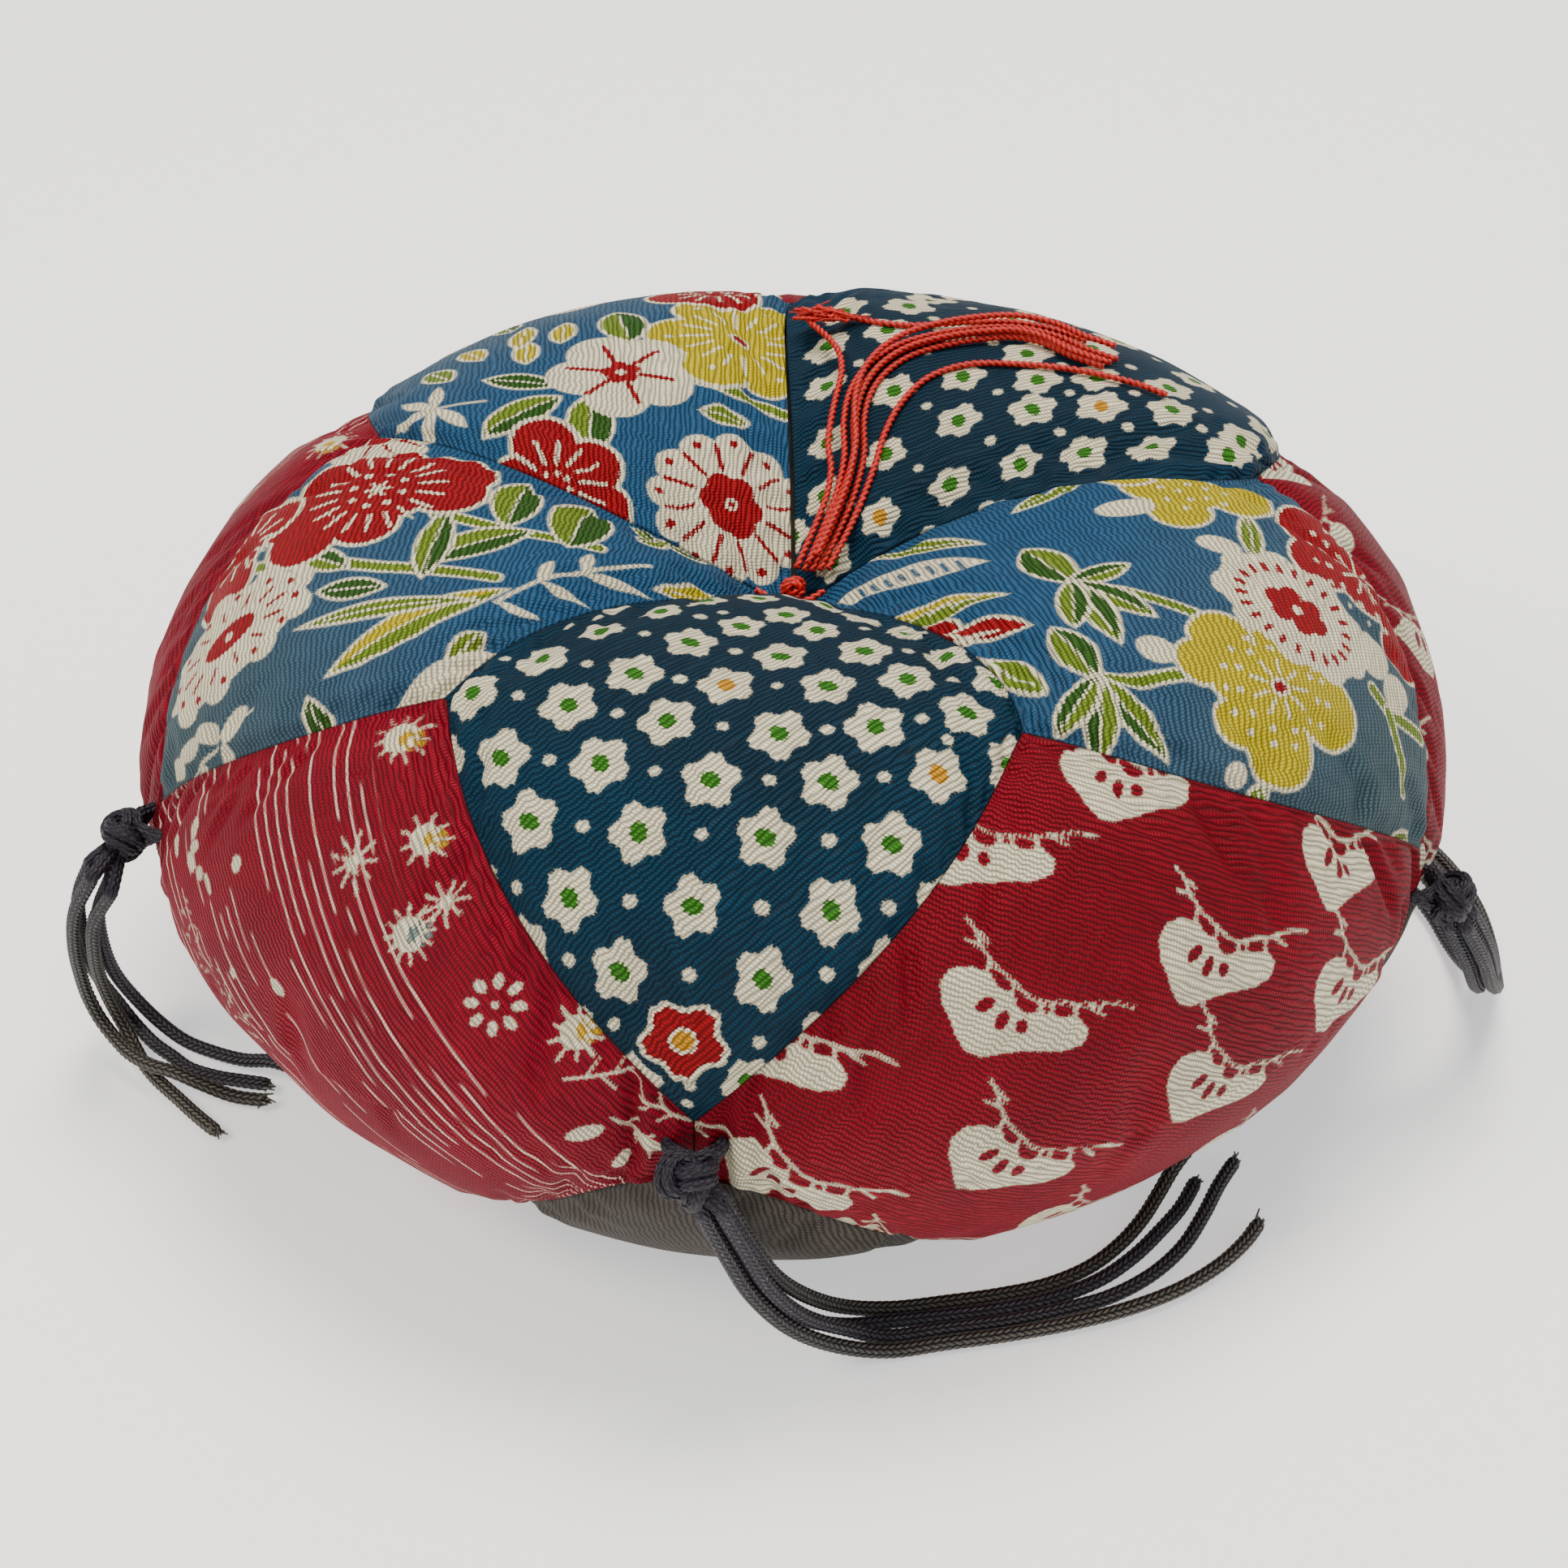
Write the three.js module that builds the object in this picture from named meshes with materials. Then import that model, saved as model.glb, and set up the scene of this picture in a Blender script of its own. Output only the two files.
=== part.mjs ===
// A round patchwork pin cushion of crepe silk, puffed like a flat pumpkin.
// Fifteen patches close over one stuffed core: five kites on top make a star, five kites make
// the underside and five lozenges make the side wall. A thread pulls the middle in, a tuft of
// threads is tied there, and a cord tassel hangs from a loop at the tips of the star.
// Millimetres, +Z up. The cushion stands on z = 0 and the side with the front tassel faces -Y.

import * as THREE from 'three';
import { mergeVertices } from 'three/addons/utils/BufferGeometryUtils.js';

// ---- Driving dimensions ----
const RIM_RADIUS = 54.4;          // middle of the cushion to a seam on its widest line
const RIM_HEIGHT = 22;            // height of the widest line
const CROWN_HEIGHT = 50.3;        // height that the top would reach with no dimple
const CROWN_SHARPNESS = 3.52;     // how square the shoulder is
const CROWN_FULLNESS = 2.2;
const UNDERSIDE_SHARPNESS = 6;    // how suddenly the underside turns up to the widest line
const DIMPLE_DEPTH = 13.7;
const DIMPLE_REACH = 0.78;        // share of the radius that the top dimple pulls down
const RECESS_DEPTH = 5;
const RECESS_REACH = 0.35;        // share of the radius that the hollow underneath takes
const PUFF = 1.6;                 // how far a patch swells between its seams
const CLOTH = 0.8;                // crepe with its seam allowance
const CLEARANCE = 0.3;
const STUFFING_HOLE = 2.6;        // polar angle of the edge of the hole for the tie
const STUFFING_STEPS = 22;
const STUFFING_SIDES = 24;
const TIE_HOLE = 1.1;             // reach of the hole that the patches leave at the middle

const CORD_RADIUS = 0.62;
const CORD_SIDES = 8;
const CORD_STEP = 4.2;
const THREAD_RADIUS = 0.3;
const THREAD_STEP = 1.8;
const KNOT_RADIUS = 1.9;
const KNOT_REACH = 57.3;          // middle of the cushion to the middle of a tassel knot
const KNOT_DROP = 2.7;            // a tassel knot hangs this far under its loop
const LOOP_RADIUS = 2.1;
const LOOP_STAND = 0.8;           // the loop's ends stand this far out of the seam
const LOOP_STEPS = 6;
const TIE_RADIUS = 0.4;
const TOP_KNOT_RADIUS = 1.5;
const TOP_KNOT_HEIGHT = 38.9;
const UNDER_KNOT_RADIUS = 1.6;
const UNDER_KNOT_HEIGHT = 2.8;

// Tips of the star, going round from the front: azimuth, the polar angle where the top kite
// ends, the polar angle where the kite underneath begins, and the height of the cord loop.
const TIPS = [
  { name: 'front', azimuth: -98, upper: 83.5, lower: 91.5, loop: 27.2 },
  { name: 'right', azimuth: -21.5, upper: 85, lower: 92, loop: 24.5 },
  { name: 'back_right', azimuth: 46, upper: 84, lower: 91, loop: 26 },
  { name: 'back_left', azimuth: 122, upper: 84, lower: 91, loop: 26 },
  { name: 'left', azimuth: 197, upper: 81, lower: 88.5, loop: 28.7 },
];
// Inner corners of the star, each one between its tip and the next. The seam from the middle to
// a corner strays from the straight line by this many degrees, near the middle and further out.
const CORNERS = [
  { name: 'front_right', azimuth: -63, polar: 42.5, near: 0, far: 3 },
  { name: 'right_side', azimuth: 9, polar: 46.5, near: 7, far: -6 },
  { name: 'back', azimuth: 90, polar: 45, near: 0, far: 1 },
  { name: 'left_side', azimuth: 160, polar: 43.5, near: 15, far: -1 },
  { name: 'front_left', azimuth: 226, polar: 44, near: 0, far: -1 },
];
const UNDER_CORNER_POLAR = 144;
const FAR_STRAY_PEAK = 27 / 4;    // makes the far stray full two thirds of the way to the corner
const SEAM_BEND = 0.88;           // below 1, a seam leaves its corner sideways
const KITE_STEPS = 9;
const SIDE_COLUMNS = 2 * KITE_STEPS;
const SIDE_ROWS = 6;
const SEAM_INSET = 0.005;         // share of a patch that is lost to the gap at its seam
const SIDE_INSET = 0.32;          // degrees of polar angle that a side patch loses there

// Tassel cords, by hand from the knot to the cut end.
const TASSEL_CORDS = {
  front: [
    [[-7, -57.5, 21.9], [-5.4, -56.5, 16.8], [-3.5, -55.2, 11.3], [-0.6, -53.6, 6.3],
     [3.2, -51.6, 2.4], [7, -50.5, 0.8], [11.4, -49.7, 0.8], [16.4, -48.8, 0.8],
     [21.4, -47.6, 0.8], [25.9, -46.1, 0.8], [30.1, -44, 0.8], [33.6, -41.3, 0.8],
     [36, -38.6, 0.8], [37.4, -36.4, 0.8]],
    [[-5.6, -57.6, 22.2], [-4, -56.3, 17.1], [-2.2, -54.8, 11.7], [0.3, -52.7, 6.8],
     [3.6, -50.2, 2.9], [6.8, -49, 0.8], [11, -48.3, 0.8], [15.9, -47.5, 0.8],
     [20.3, -46.3, 0.8], [24.3, -44.9, 0.8], [27.9, -42.5, 0.8], [30.8, -39.3, 0.8],
     [33, -35.4, 0.8], [34.6, -32, 0.8], [36.3, -29, 0.8]],
    [[-7.1, -56.1, 21.9], [-5.3, -55, 16.5], [-3.3, -53.6, 10.8], [-0.3, -51.5, 5.6],
     [3.4, -48.8, 1.9], [7.3, -47.3, 0.8], [11.8, -46.7, 0.8], [16.6, -45.9, 0.8],
     [20.5, -44.7, 0.8], [24, -42.8, 0.8], [26.9, -40.2, 0.8], [29.2, -37.4, 0.8],
     [31.2, -34.6, 0.8], [32.8, -31.4, 0.8]],
    [[-5.7, -56.2, 22.3], [-3.8, -54.7, 16.7], [-1.7, -52.8, 11], [1, -49.8, 5.8], [4.1, -47, 2],
     [7.5, -45.9, 0.8], [11.5, -45.3, 0.8], [15.9, -44.5, 0.8], [19.7, -43.4, 0.8],
     [23.1, -41.5, 0.8], [25.8, -38.9, 0.8], [27.9, -36, 0.8], [29.5, -33.2, 1], [31, -31, 2],
     [32.6, -29.6, 3.4]],
  ],
  right: [
    [[54.6, -21.9, 19.6], [57.1, -19.3, 14.2], [59.2, -15.5, 8.5], [61, -10.9, 4.5],
     [62.2, -5.6, 1.8], [62.9, -0.6, 0.8], [62.8, 4.3, 0.8], [61.9, 9.2, 0.8], [60.3, 13.7, 0.8],
     [58.1, 18, 0.8], [55.3, 22.1, 0.8], [52.2, 25.8, 0.8], [49, 29, 0.8]],
    [[53.3, -21.3, 19.4], [55.8, -18.7, 13.7], [57.9, -14.9, 8.1], [59.7, -10.3, 4.1],
     [60.8, -5.2, 1.6], [61.5, -0.3, 0.8], [61.4, 4.2, 0.8], [60.6, 8.8, 0.8], [59, 13.1, 0.8],
     [56.8, 17.1, 0.8], [54.1, 21, 0.8], [50.9, 24.5, 0.8], [47.6, 27.4, 0.8]],
    [[55.1, -20.8, 20.4], [57.6, -18.1, 14.8], [59.5, -14.1, 9.3], [60.8, -9.4, 5.3],
     [61, -4.6, 3], [60.3, -0.1, 1.7], [59.9, 4.1, 0.8], [59.2, 8.4, 0.8], [57.6, 12.5, 0.8],
     [55.3, 16.3, 0.8], [52.6, 19.8, 0.8], [49.8, 23, 0.8], [47, 25.6, 0.8]],
    [[54.2, -19.8, 19.6], [56.4, -17.4, 14.3], [58.2, -13.7, 8.9], [59.3, -9.2, 4.9],
     [59.4, -4.6, 2.2], [59, -0.3, 1], [58.3, 4, 0.8], [57, 8.1, 0.8], [55.3, 11.8, 0.8],
     [52.9, 15.4, 0.8], [50.3, 18.7, 0.8], [47.6, 21.6, 0.8], [44.9, 24.4, 0.8]],
  ],
  left: [
    [[-56.9, -20.4, 24.6], [-59.2, -18.7, 19.9], [-60.5, -16.2, 14.5], [-61.1, -13.8, 9.5],
     [-61.1, -12.6, 5.9], [-60.4, -12.8, 3.7], [-59, -14.2, 2.6], [-57.3, -16.2, 2.4],
     [-55.3, -17.8, 2.5], [-53.1, -18.8, 2.5], [-50.8, -19.6, 1.9], [-48, -20.2, 1],
     [-45.2, -20.6, 0.8]],
    [[-55.9, -18.8, 23.2], [-57.8, -16.8, 18.5], [-58.6, -14.4, 13.2], [-58.6, -12.1, 8.1],
     [-57.6, -10.8, 4.3], [-55.7, -11.2, 1.9], [-53.4, -12.5, 0.8], [-50.7, -14.1, 0.8],
     [-47.7, -15.7, 1.2], [-45, -17.1, 2.2], [-42.6, -18.8, 2.7]],
    [[-57.2, -18.8, 25], [-59.1, -17.2, 20.5], [-60.1, -14.8, 15.5], [-60.7, -12.3, 10.5],
     [-60.5, -10.5, 6.3], [-59.3, -10.1, 3.2], [-57.6, -11.3, 1.4], [-55.8, -13.1, 0.8],
     [-54.1, -14.7, 0.8], [-52.4, -16.3, 0.8], [-50, -17.4, 0.8], [-47.6, -18, 0.8],
     [-45.2, -18.5, 0.8]],
    [[-55.6, -20.4, 23], [-57.9, -18.4, 18.5], [-59, -16, 13.1], [-59.5, -13.6, 8.6],
     [-59.2, -12.4, 4.8], [-58.4, -12.6, 2.5], [-57.4, -13.9, 1.1], [-56.3, -15.8, 0.8],
     [-54.9, -17.8, 0.8], [-52.9, -20.1, 0.8], [-50.9, -22.4, 0.8], [-48.8, -24.6, 0.8]],
  ],
};

// Tuft threads, by hand in plan: they lie on the top patches and take their height from them.
const TUFT_BUNDLE = [
  [1.6, 1], [3.3, 4.4], [4.5, 7.3], [5.3, 10.8], [5.4, 14.7], [6.1, 17.8], [7.6, 20.4],
  [9.9, 22.5], [13.1, 23.9], [16.6, 24.8], [20, 25.2], [22.8, 24], [25, 21.6], [27.6, 19.8],
];
// How far each thread of the bundle lies to the right at the knot and at its end, and its layer.
const BUNDLE_THREADS = [
  { atKnot: -0.7, atEnd: -1.4, above: 0 },
  { atKnot: 0, atEnd: -0.2, above: 0 },
  { atKnot: 0.7, atEnd: 1.1, above: 0 },
  { atKnot: -0.4, atEnd: 1.5, above: 0.75 },
  { atKnot: 0.4, atEnd: -0.9, above: 1.45 },
];
const TUFT_STRAYS = [
  [[0.3, 1.7], [1.9, 5], [2.9, 7.5], [3.3, 10], [3.1, 12.4], [3.4, 15], [3.9, 17.6], [4.4, 20.4],
    [4.2, 22.8], [3.4, 24.8], [2.4, 26.4], [1.7, 27.8], [2.4, 29], [4, 29], [6, 28],
    [8.2, 27.1], [10.6, 26.6], [13.4, 26.8], [16.4, 27.3], [19.8, 27.7], [23.2, 26.9], [26, 24.8]],
  [[2.9, 0.3], [4.7, 3.7], [6, 6.6], [7, 9.4], [8, 12.8], [9.6, 16], [12, 18.6], [15.4, 19.8],
    [19, 19.4], [22.6, 18.6], [26.2, 17.4], [29.6, 15.9], [32, 14.4]],
];
const THREAD_LIFT = 0.6;

// ---- The cushion's surface ----
const rad = THREE.MathUtils.degToRad;

// Height of the top at a share of the radius, 0 at the middle and 1 at the widest line.
function topHeight(share) {
  const shoulder = Math.max(1 - share ** CROWN_SHARPNESS, 0) ** (1 / CROWN_FULLNESS);
  const dimple = Math.max(1 - share / DIMPLE_REACH, 0) ** 2;
  return RIM_HEIGHT + (CROWN_HEIGHT - RIM_HEIGHT) * shoulder - DIMPLE_DEPTH * dimple;
}

function undersideHeight(share) {
  const recess = Math.max(1 - share / RECESS_REACH, 0) ** 2;
  return RIM_HEIGHT * share ** UNDERSIDE_SHARPNESS + RECESS_DEPTH * recess;
}

// Polar angle 0 is the middle of the top, 90 the widest line and 180 the middle underneath.
function seamSurface(polar, azimuth) {
  const share = Math.sin(rad(polar));
  const height = polar <= 90 ? topHeight(share) : undersideHeight(share);
  const reach = RIM_RADIUS * share;
  return new THREE.Vector3(reach * Math.cos(rad(azimuth)), reach * Math.sin(rad(azimuth)), height);
}

const NORMAL_STEP = 0.5;          // degrees

function surfaceNormal(polar, azimuth) {
  const step = NORMAL_STEP;
  const across = seamSurface(polar, azimuth + step).sub(seamSurface(polar, azimuth - step));
  const down = seamSurface(Math.min(polar + step, 180 - step), azimuth)
    .sub(seamSurface(Math.max(polar - step, step), azimuth));
  return down.cross(across).normalize();
}

function lifted(polar, azimuth, lift, floor) {
  const point = seamSurface(polar, azimuth).addScaledVector(surfaceNormal(polar, azimuth), lift);
  point.z = Math.max(point.z, floor);
  return point;
}

// ---- Closed shells from a grid ----
// place(u, v) gives { polar, azimuth } and u, v run from 0 to 1 over the patch.
function patchGeometry(place, columns, rows) {
  const outer = [];
  const inner = [];
  for (let j = 0; j <= rows; j += 1) {
    for (let i = 0; i <= columns; i += 1) {
      const u = i / columns;
      const v = j / rows;
      const { polar, azimuth } = place(u, v);
      const swell = PUFF * Math.sqrt(16 * u * (1 - u) * v * (1 - v));
      outer.push(lifted(polar, azimuth, swell, 0));
      inner.push(lifted(polar, azimuth, swell - CLOTH, CLOTH));
    }
  }
  return shellGeometry(outer, inner, columns, rows);
}

function shellGeometry(outer, inner, columns, rows) {
  const corners = [];
  const quad = (a, b, c, d) => corners.push(a, b, c, a, c, d);
  const at = (grid, i, j) => grid[j * (columns + 1) + i];
  for (let j = 0; j < rows; j += 1) {
    for (let i = 0; i < columns; i += 1) {
      quad(at(outer, i, j), at(outer, i + 1, j), at(outer, i + 1, j + 1), at(outer, i, j + 1));
      quad(at(inner, i, j), at(inner, i, j + 1), at(inner, i + 1, j + 1), at(inner, i + 1, j));
    }
  }
  const wall = (i, j, k, l) => quad(at(outer, i, j), at(inner, i, j), at(inner, k, l),
    at(outer, k, l));
  for (let i = 0; i < columns; i += 1) {
    wall(i, 0, i + 1, 0);
    wall(i + 1, rows, i, rows);
  }
  for (let j = 0; j < rows; j += 1) {
    wall(0, j + 1, 0, j);
    wall(columns, j, columns, j + 1);
  }
  return facetedGeometry(corners);
}

// A closed mesh from loose triangle corners, turned so that its faces point outwards.
function facetedGeometry(corners) {
  let volume = 0;
  for (let k = 0; k < corners.length; k += 3) {
    volume += corners[k].dot(corners[k + 1].clone().cross(corners[k + 2]));
  }
  const ordered = volume < 0 ? corners.slice().reverse() : corners;
  const geometry = new THREE.BufferGeometry().setFromPoints(ordered);
  const merged = mergeVertices(geometry);
  merged.computeVertexNormals();
  return merged;
}

// ---- The three kinds of patch ----
const mix = THREE.MathUtils.lerp;
const turned = (from, to) => to + 360 * Math.round((from - to) / 360);

// A point of a kite's plan: the polar angle laid off along the azimuth.
function planPoint(polar, azimuth) {
  return new THREE.Vector2(polar * Math.cos(rad(azimuth)), polar * Math.sin(rad(azimuth)));
}

function seamFromCorner(cornerPolar, cornerAzimuth, tipPolar, tipAzimuth, t) {
  return {
    polar: mix(cornerPolar, tipPolar, t),
    azimuth: mix(cornerAzimuth, turned(cornerAzimuth, tipAzimuth), t ** SEAM_BEND),
  };
}

// How far a seam from the middle has strayed sideways at a share of its way to the corner.
function strayed(corner, t) {
  const angle = corner.near * (1 - t) + corner.far * FAR_STRAY_PEAK * t * t * (1 - t);
  const polar = corner.polar * t;
  return planPoint(polar, corner.azimuth + angle).sub(planPoint(polar, corner.azimuth));
}

// A kite from the middle to its tip, with a corner on either side, in polar angles from its
// own middle: Coons' patch between its four seams.
function kitePlace(tipPolar, tipAzimuth, first, second, toSurface) {
  const start = planPoint(TIE_HOLE, tipAzimuth);
  const tip = planPoint(tipPolar, tipAzimuth);
  const corner = (c) => planPoint(c.polar, c.azimuth);
  const inner = (c, t) => start.clone().lerp(corner(c), t).add(strayed(c, t));
  const bent = (c, t) => {
    const s = seamFromCorner(c.polar, c.azimuth, tipPolar, tipAzimuth, t);
    return planPoint(s.polar, s.azimuth);
  };
  return (u, v) => {
    const a = mix(SEAM_INSET, 1 - SEAM_INSET, u);
    const b = mix(SEAM_INSET, 1 - SEAM_INSET, v);
    const across = inner(first, a).lerp(bent(second, a), b);
    const along = inner(second, b).lerp(bent(first, b), a);
    const low = start.clone().lerp(corner(first), a);
    const high = corner(second).lerp(tip, a);
    const point = across.add(along).sub(low.lerp(high, b));
    return toSurface(point.length(), THREE.MathUtils.radToDeg(Math.atan2(point.y, point.x)));
  };
}

function topKitePlace(index) {
  const tip = TIPS[index];
  const before = CORNERS[(index + 4) % 5];
  const after = CORNERS[index];
  return kitePlace(tip.upper, tip.azimuth, before, after, (polar, azimuth) => ({ polar, azimuth }));
}

function underKitePlace(index) {
  const tip = TIPS[index];
  const polar = 180 - UNDER_CORNER_POLAR;
  const straight = { polar, near: 0, far: 0 };
  const before = { ...straight, azimuth: CORNERS[(index + 4) % 5].azimuth };
  const after = { ...straight, azimuth: CORNERS[index].azimuth };
  return kitePlace(180 - tip.lower, tip.azimuth, before, after,
    (fromBelow, azimuth) => ({ polar: 180 - fromBelow, azimuth }));
}

// A side lozenge from one tip to the next: columns from its upper seam to its lower one, at the
// same steps along the bent seams as the kites have.
function sidePlace(index) {
  const tips = [TIPS[index], TIPS[(index + 1) % 5]];
  const corner = CORNERS[index];
  const start = turned(tips[0].azimuth, corner.azimuth);
  return (u, v) => {
    const column = mix(SEAM_INSET, 1 - SEAM_INSET, u);
    const tip = tips[column < 0.5 ? 0 : 1];
    const t = Math.abs(1 - 2 * column);
    const upper = seamFromCorner(corner.polar, start, tip.upper, tip.azimuth, t);
    const lower = seamFromCorner(UNDER_CORNER_POLAR, start, tip.lower, tip.azimuth, t);
    return {
      polar: mix(upper.polar + SIDE_INSET, lower.polar - SIDE_INSET, v),
      azimuth: upper.azimuth,
    };
  };
}

// ---- Stuffing: a ring of the cushion's own profile, drawn in inside the patches ----
function stuffingGeometry() {
  const inset = CLOTH + 2 * CLEARANCE;
  const profile = [];
  for (let k = 0; k <= STUFFING_STEPS; k += 1) {
    const polar = mix(STUFFING_HOLE, 180 - STUFFING_HOLE, k / STUFFING_STEPS);
    const point = seamSurface(polar, 0).addScaledVector(surfaceNormal(polar, 0), -inset);
    profile.push(new THREE.Vector2(point.x, Math.max(point.z, inset)));
  }
  profile.push(profile[0].clone());
  const ring = new THREE.LatheGeometry(profile.reverse(), STUFFING_SIDES);
  return closedGeometry(ring.rotateX(Math.PI / 2));
}

// A geometry class's own mesh with only its positions, and its doubled edges joined.
function closedGeometry(source) {
  const geometry = source.index ? source.toNonIndexed() : source;
  const positions = geometry.getAttribute('position');
  const corners = [];
  for (let k = 0; k < positions.count; k += 3) {
    const face = [0, 1, 2].map((n) => new THREE.Vector3().fromBufferAttribute(positions, k + n));
    const area = face[1].clone().sub(face[0]).cross(face[2].clone().sub(face[0])).length();
    if (area > 1e-5) {
      corners.push(...face);
    }
  }
  return facetedGeometry(corners);
}

// ---- Cords, threads, loops and knots ----
function tubeGeometry(points, radius, step) {
  const curve = new THREE.CatmullRomCurve3(points, false, 'centripetal');
  const section = new THREE.Shape();
  for (let k = 0; k < CORD_SIDES; k += 1) {
    const angle = 2 * Math.PI * k / CORD_SIDES;
    const method = k === 0 ? 'moveTo' : 'lineTo';
    section[method](radius * Math.cos(angle), radius * Math.sin(angle));
  }
  const steps = Math.ceil(curve.getLength() / step);
  return closedGeometry(new THREE.ExtrudeGeometry(section, { steps, extrudePath: curve }));
}

const vectors = (list) => list.map((p) => new THREE.Vector3(...p));

// A loop of cord that comes out of the cloth on one side of the seam and back on the other.
function loopGeometry(tip) {
  const outward = new THREE.Vector3(Math.cos(rad(tip.azimuth)), Math.sin(rad(tip.azimuth)), 0);
  const sideways = new THREE.Vector3(-outward.y, outward.x, 0);
  const root = outward.clone().multiplyScalar(RIM_RADIUS + LOOP_STAND);
  root.z = tip.loop;
  const points = [];
  for (let k = 0; k <= LOOP_STEPS; k += 1) {
    const angle = Math.PI * k / LOOP_STEPS;
    points.push(root.clone()
      .addScaledVector(sideways, LOOP_RADIUS * Math.cos(angle))
      .addScaledVector(outward, LOOP_RADIUS * Math.sin(angle)));
  }
  return tubeGeometry(points, CORD_RADIUS, LOOP_RADIUS / 2);
}

function knotCentre(tip) {
  return new THREE.Vector3(
    KNOT_REACH * Math.cos(rad(tip.azimuth)),
    KNOT_REACH * Math.sin(rad(tip.azimuth)),
    tip.loop - KNOT_DROP,
  );
}

function ballGeometry(radius, centre) {
  return closedGeometry(new THREE.SphereGeometry(radius, 12, 8).translate(...centre));
}

function tieGeometry() {
  const low = UNDER_KNOT_HEIGHT + UNDER_KNOT_RADIUS + CLEARANCE;
  const high = TOP_KNOT_HEIGHT - TOP_KNOT_RADIUS - CLEARANCE;
  const thread = new THREE.CylinderGeometry(TIE_RADIUS, TIE_RADIUS, high - low, CORD_SIDES);
  return closedGeometry(thread.rotateX(Math.PI / 2).translate(0, 0, (high + low) / 2));
}

// Thread points in plan, laid on the top patches with a height above them.
function laidOnTop(plan, above) {
  return plan.map(([x, y]) => {
    const height = topHeight(Math.hypot(x, y) / RIM_RADIUS) + PUFF + THREAD_LIFT + above;
    return new THREE.Vector3(x, y, height);
  });
}

// A plan route moved sideways, square to its own direction.
function besideRoute(plan, atStart, atEnd) {
  return plan.map((point, k) => {
    const across = atStart + (atEnd - atStart) * k / (plan.length - 1);
    const from = plan[Math.max(k - 1, 0)];
    const to = plan[Math.min(k + 1, plan.length - 1)];
    const run = Math.hypot(to[0] - from[0], to[1] - from[1]);
    return [point[0] + across * (to[1] - from[1]) / run, point[1] - across * (to[0] - from[0]) / run];
  });
}

// ---- Materials ----
const cloth = (colour) => new THREE.MeshStandardMaterial({
  color: colour, roughness: 0.75, metalness: 0, side: THREE.DoubleSide,
});
const navyBlossomCrepe = cloth(0x124a68);
const blueFloralCrepe = cloth(0x35749b);
const redFanCrepe = cloth(0xa0141f);
const redStreakCrepe = cloth(0xa3222c);
const greyCrepe = cloth(0x6f6b66);
const stuffingFibre = cloth(0xe6e0d2);
const braidedCord = cloth(0x3b3a3c);
const redThread = cloth(0xd8362a);

// ---- Assembly ----
const cushion = new THREE.Group();

function add(name, geometry, material, parent) {
  const mesh = new THREE.Mesh(geometry, material.clone());
  mesh.name = name;
  parent.add(mesh);
  return mesh;
}

const topCloths = [navyBlossomCrepe, blueFloralCrepe, navyBlossomCrepe, blueFloralCrepe,
  blueFloralCrepe];
const sideCloths = [redFanCrepe, redFanCrepe, redFanCrepe, redStreakCrepe, redStreakCrepe];

TIPS.forEach((tip, index) => {
  const kite = patchGeometry(topKitePlace(index), KITE_STEPS, KITE_STEPS);
  add(`top_patch_${tip.name}`, kite, topCloths[index], cushion);
  const side = patchGeometry(sidePlace(index), SIDE_COLUMNS, SIDE_ROWS);
  add(`side_patch_${CORNERS[index].name}`, side, sideCloths[index], cushion);
  const under = patchGeometry(underKitePlace(index), KITE_STEPS, KITE_STEPS);
  add(`under_patch_${tip.name}`, under, greyCrepe, cushion);
  add(`cord_loop_${tip.name}`, loopGeometry(tip), braidedCord, cushion);
});

add('stuffing', stuffingGeometry(), stuffingFibre, cushion);
add('centre_tie', tieGeometry(), redThread, cushion);
add('top_knot', ballGeometry(TOP_KNOT_RADIUS, [0, 0, TOP_KNOT_HEIGHT]), redThread, cushion);
add('under_knot', ballGeometry(UNDER_KNOT_RADIUS, [0, 0, UNDER_KNOT_HEIGHT]), redThread, cushion);

Object.entries(TASSEL_CORDS).forEach(([name, cords]) => {
  const tip = TIPS.find((t) => t.name === name);
  const tassel = new THREE.Group();
  add(`tassel_knot_${name}`, ballGeometry(KNOT_RADIUS, knotCentre(tip)), braidedCord, tassel);
  cords.forEach((route, index) => {
    const tube = tubeGeometry(vectors(route), CORD_RADIUS, CORD_STEP);
    add(`tassel_cord_${name}_${index + 1}`, tube, braidedCord, tassel);
  });
  cushion.add(tassel);
});

const tuft = new THREE.Group();
BUNDLE_THREADS.forEach(({ atKnot, atEnd, above }, index) => {
  const points = laidOnTop(besideRoute(TUFT_BUNDLE, atKnot, atEnd), above);
  add(`tuft_thread_${index + 1}`, tubeGeometry(points, THREAD_RADIUS, THREAD_STEP), redThread, tuft);
});
TUFT_STRAYS.forEach((plan, index) => {
  const points = laidOnTop(plan, 0);
  const name = `tuft_thread_${BUNDLE_THREADS.length + index + 1}`;
  add(name, tubeGeometry(points, THREAD_RADIUS, THREAD_STEP), redThread, tuft);
});
cushion.add(tuft);

export default cushion;
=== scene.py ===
import itertools
import math
from collections import namedtuple

import bmesh
import bpy
import numpy as np
from mathutils import Matrix, Vector


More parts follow.
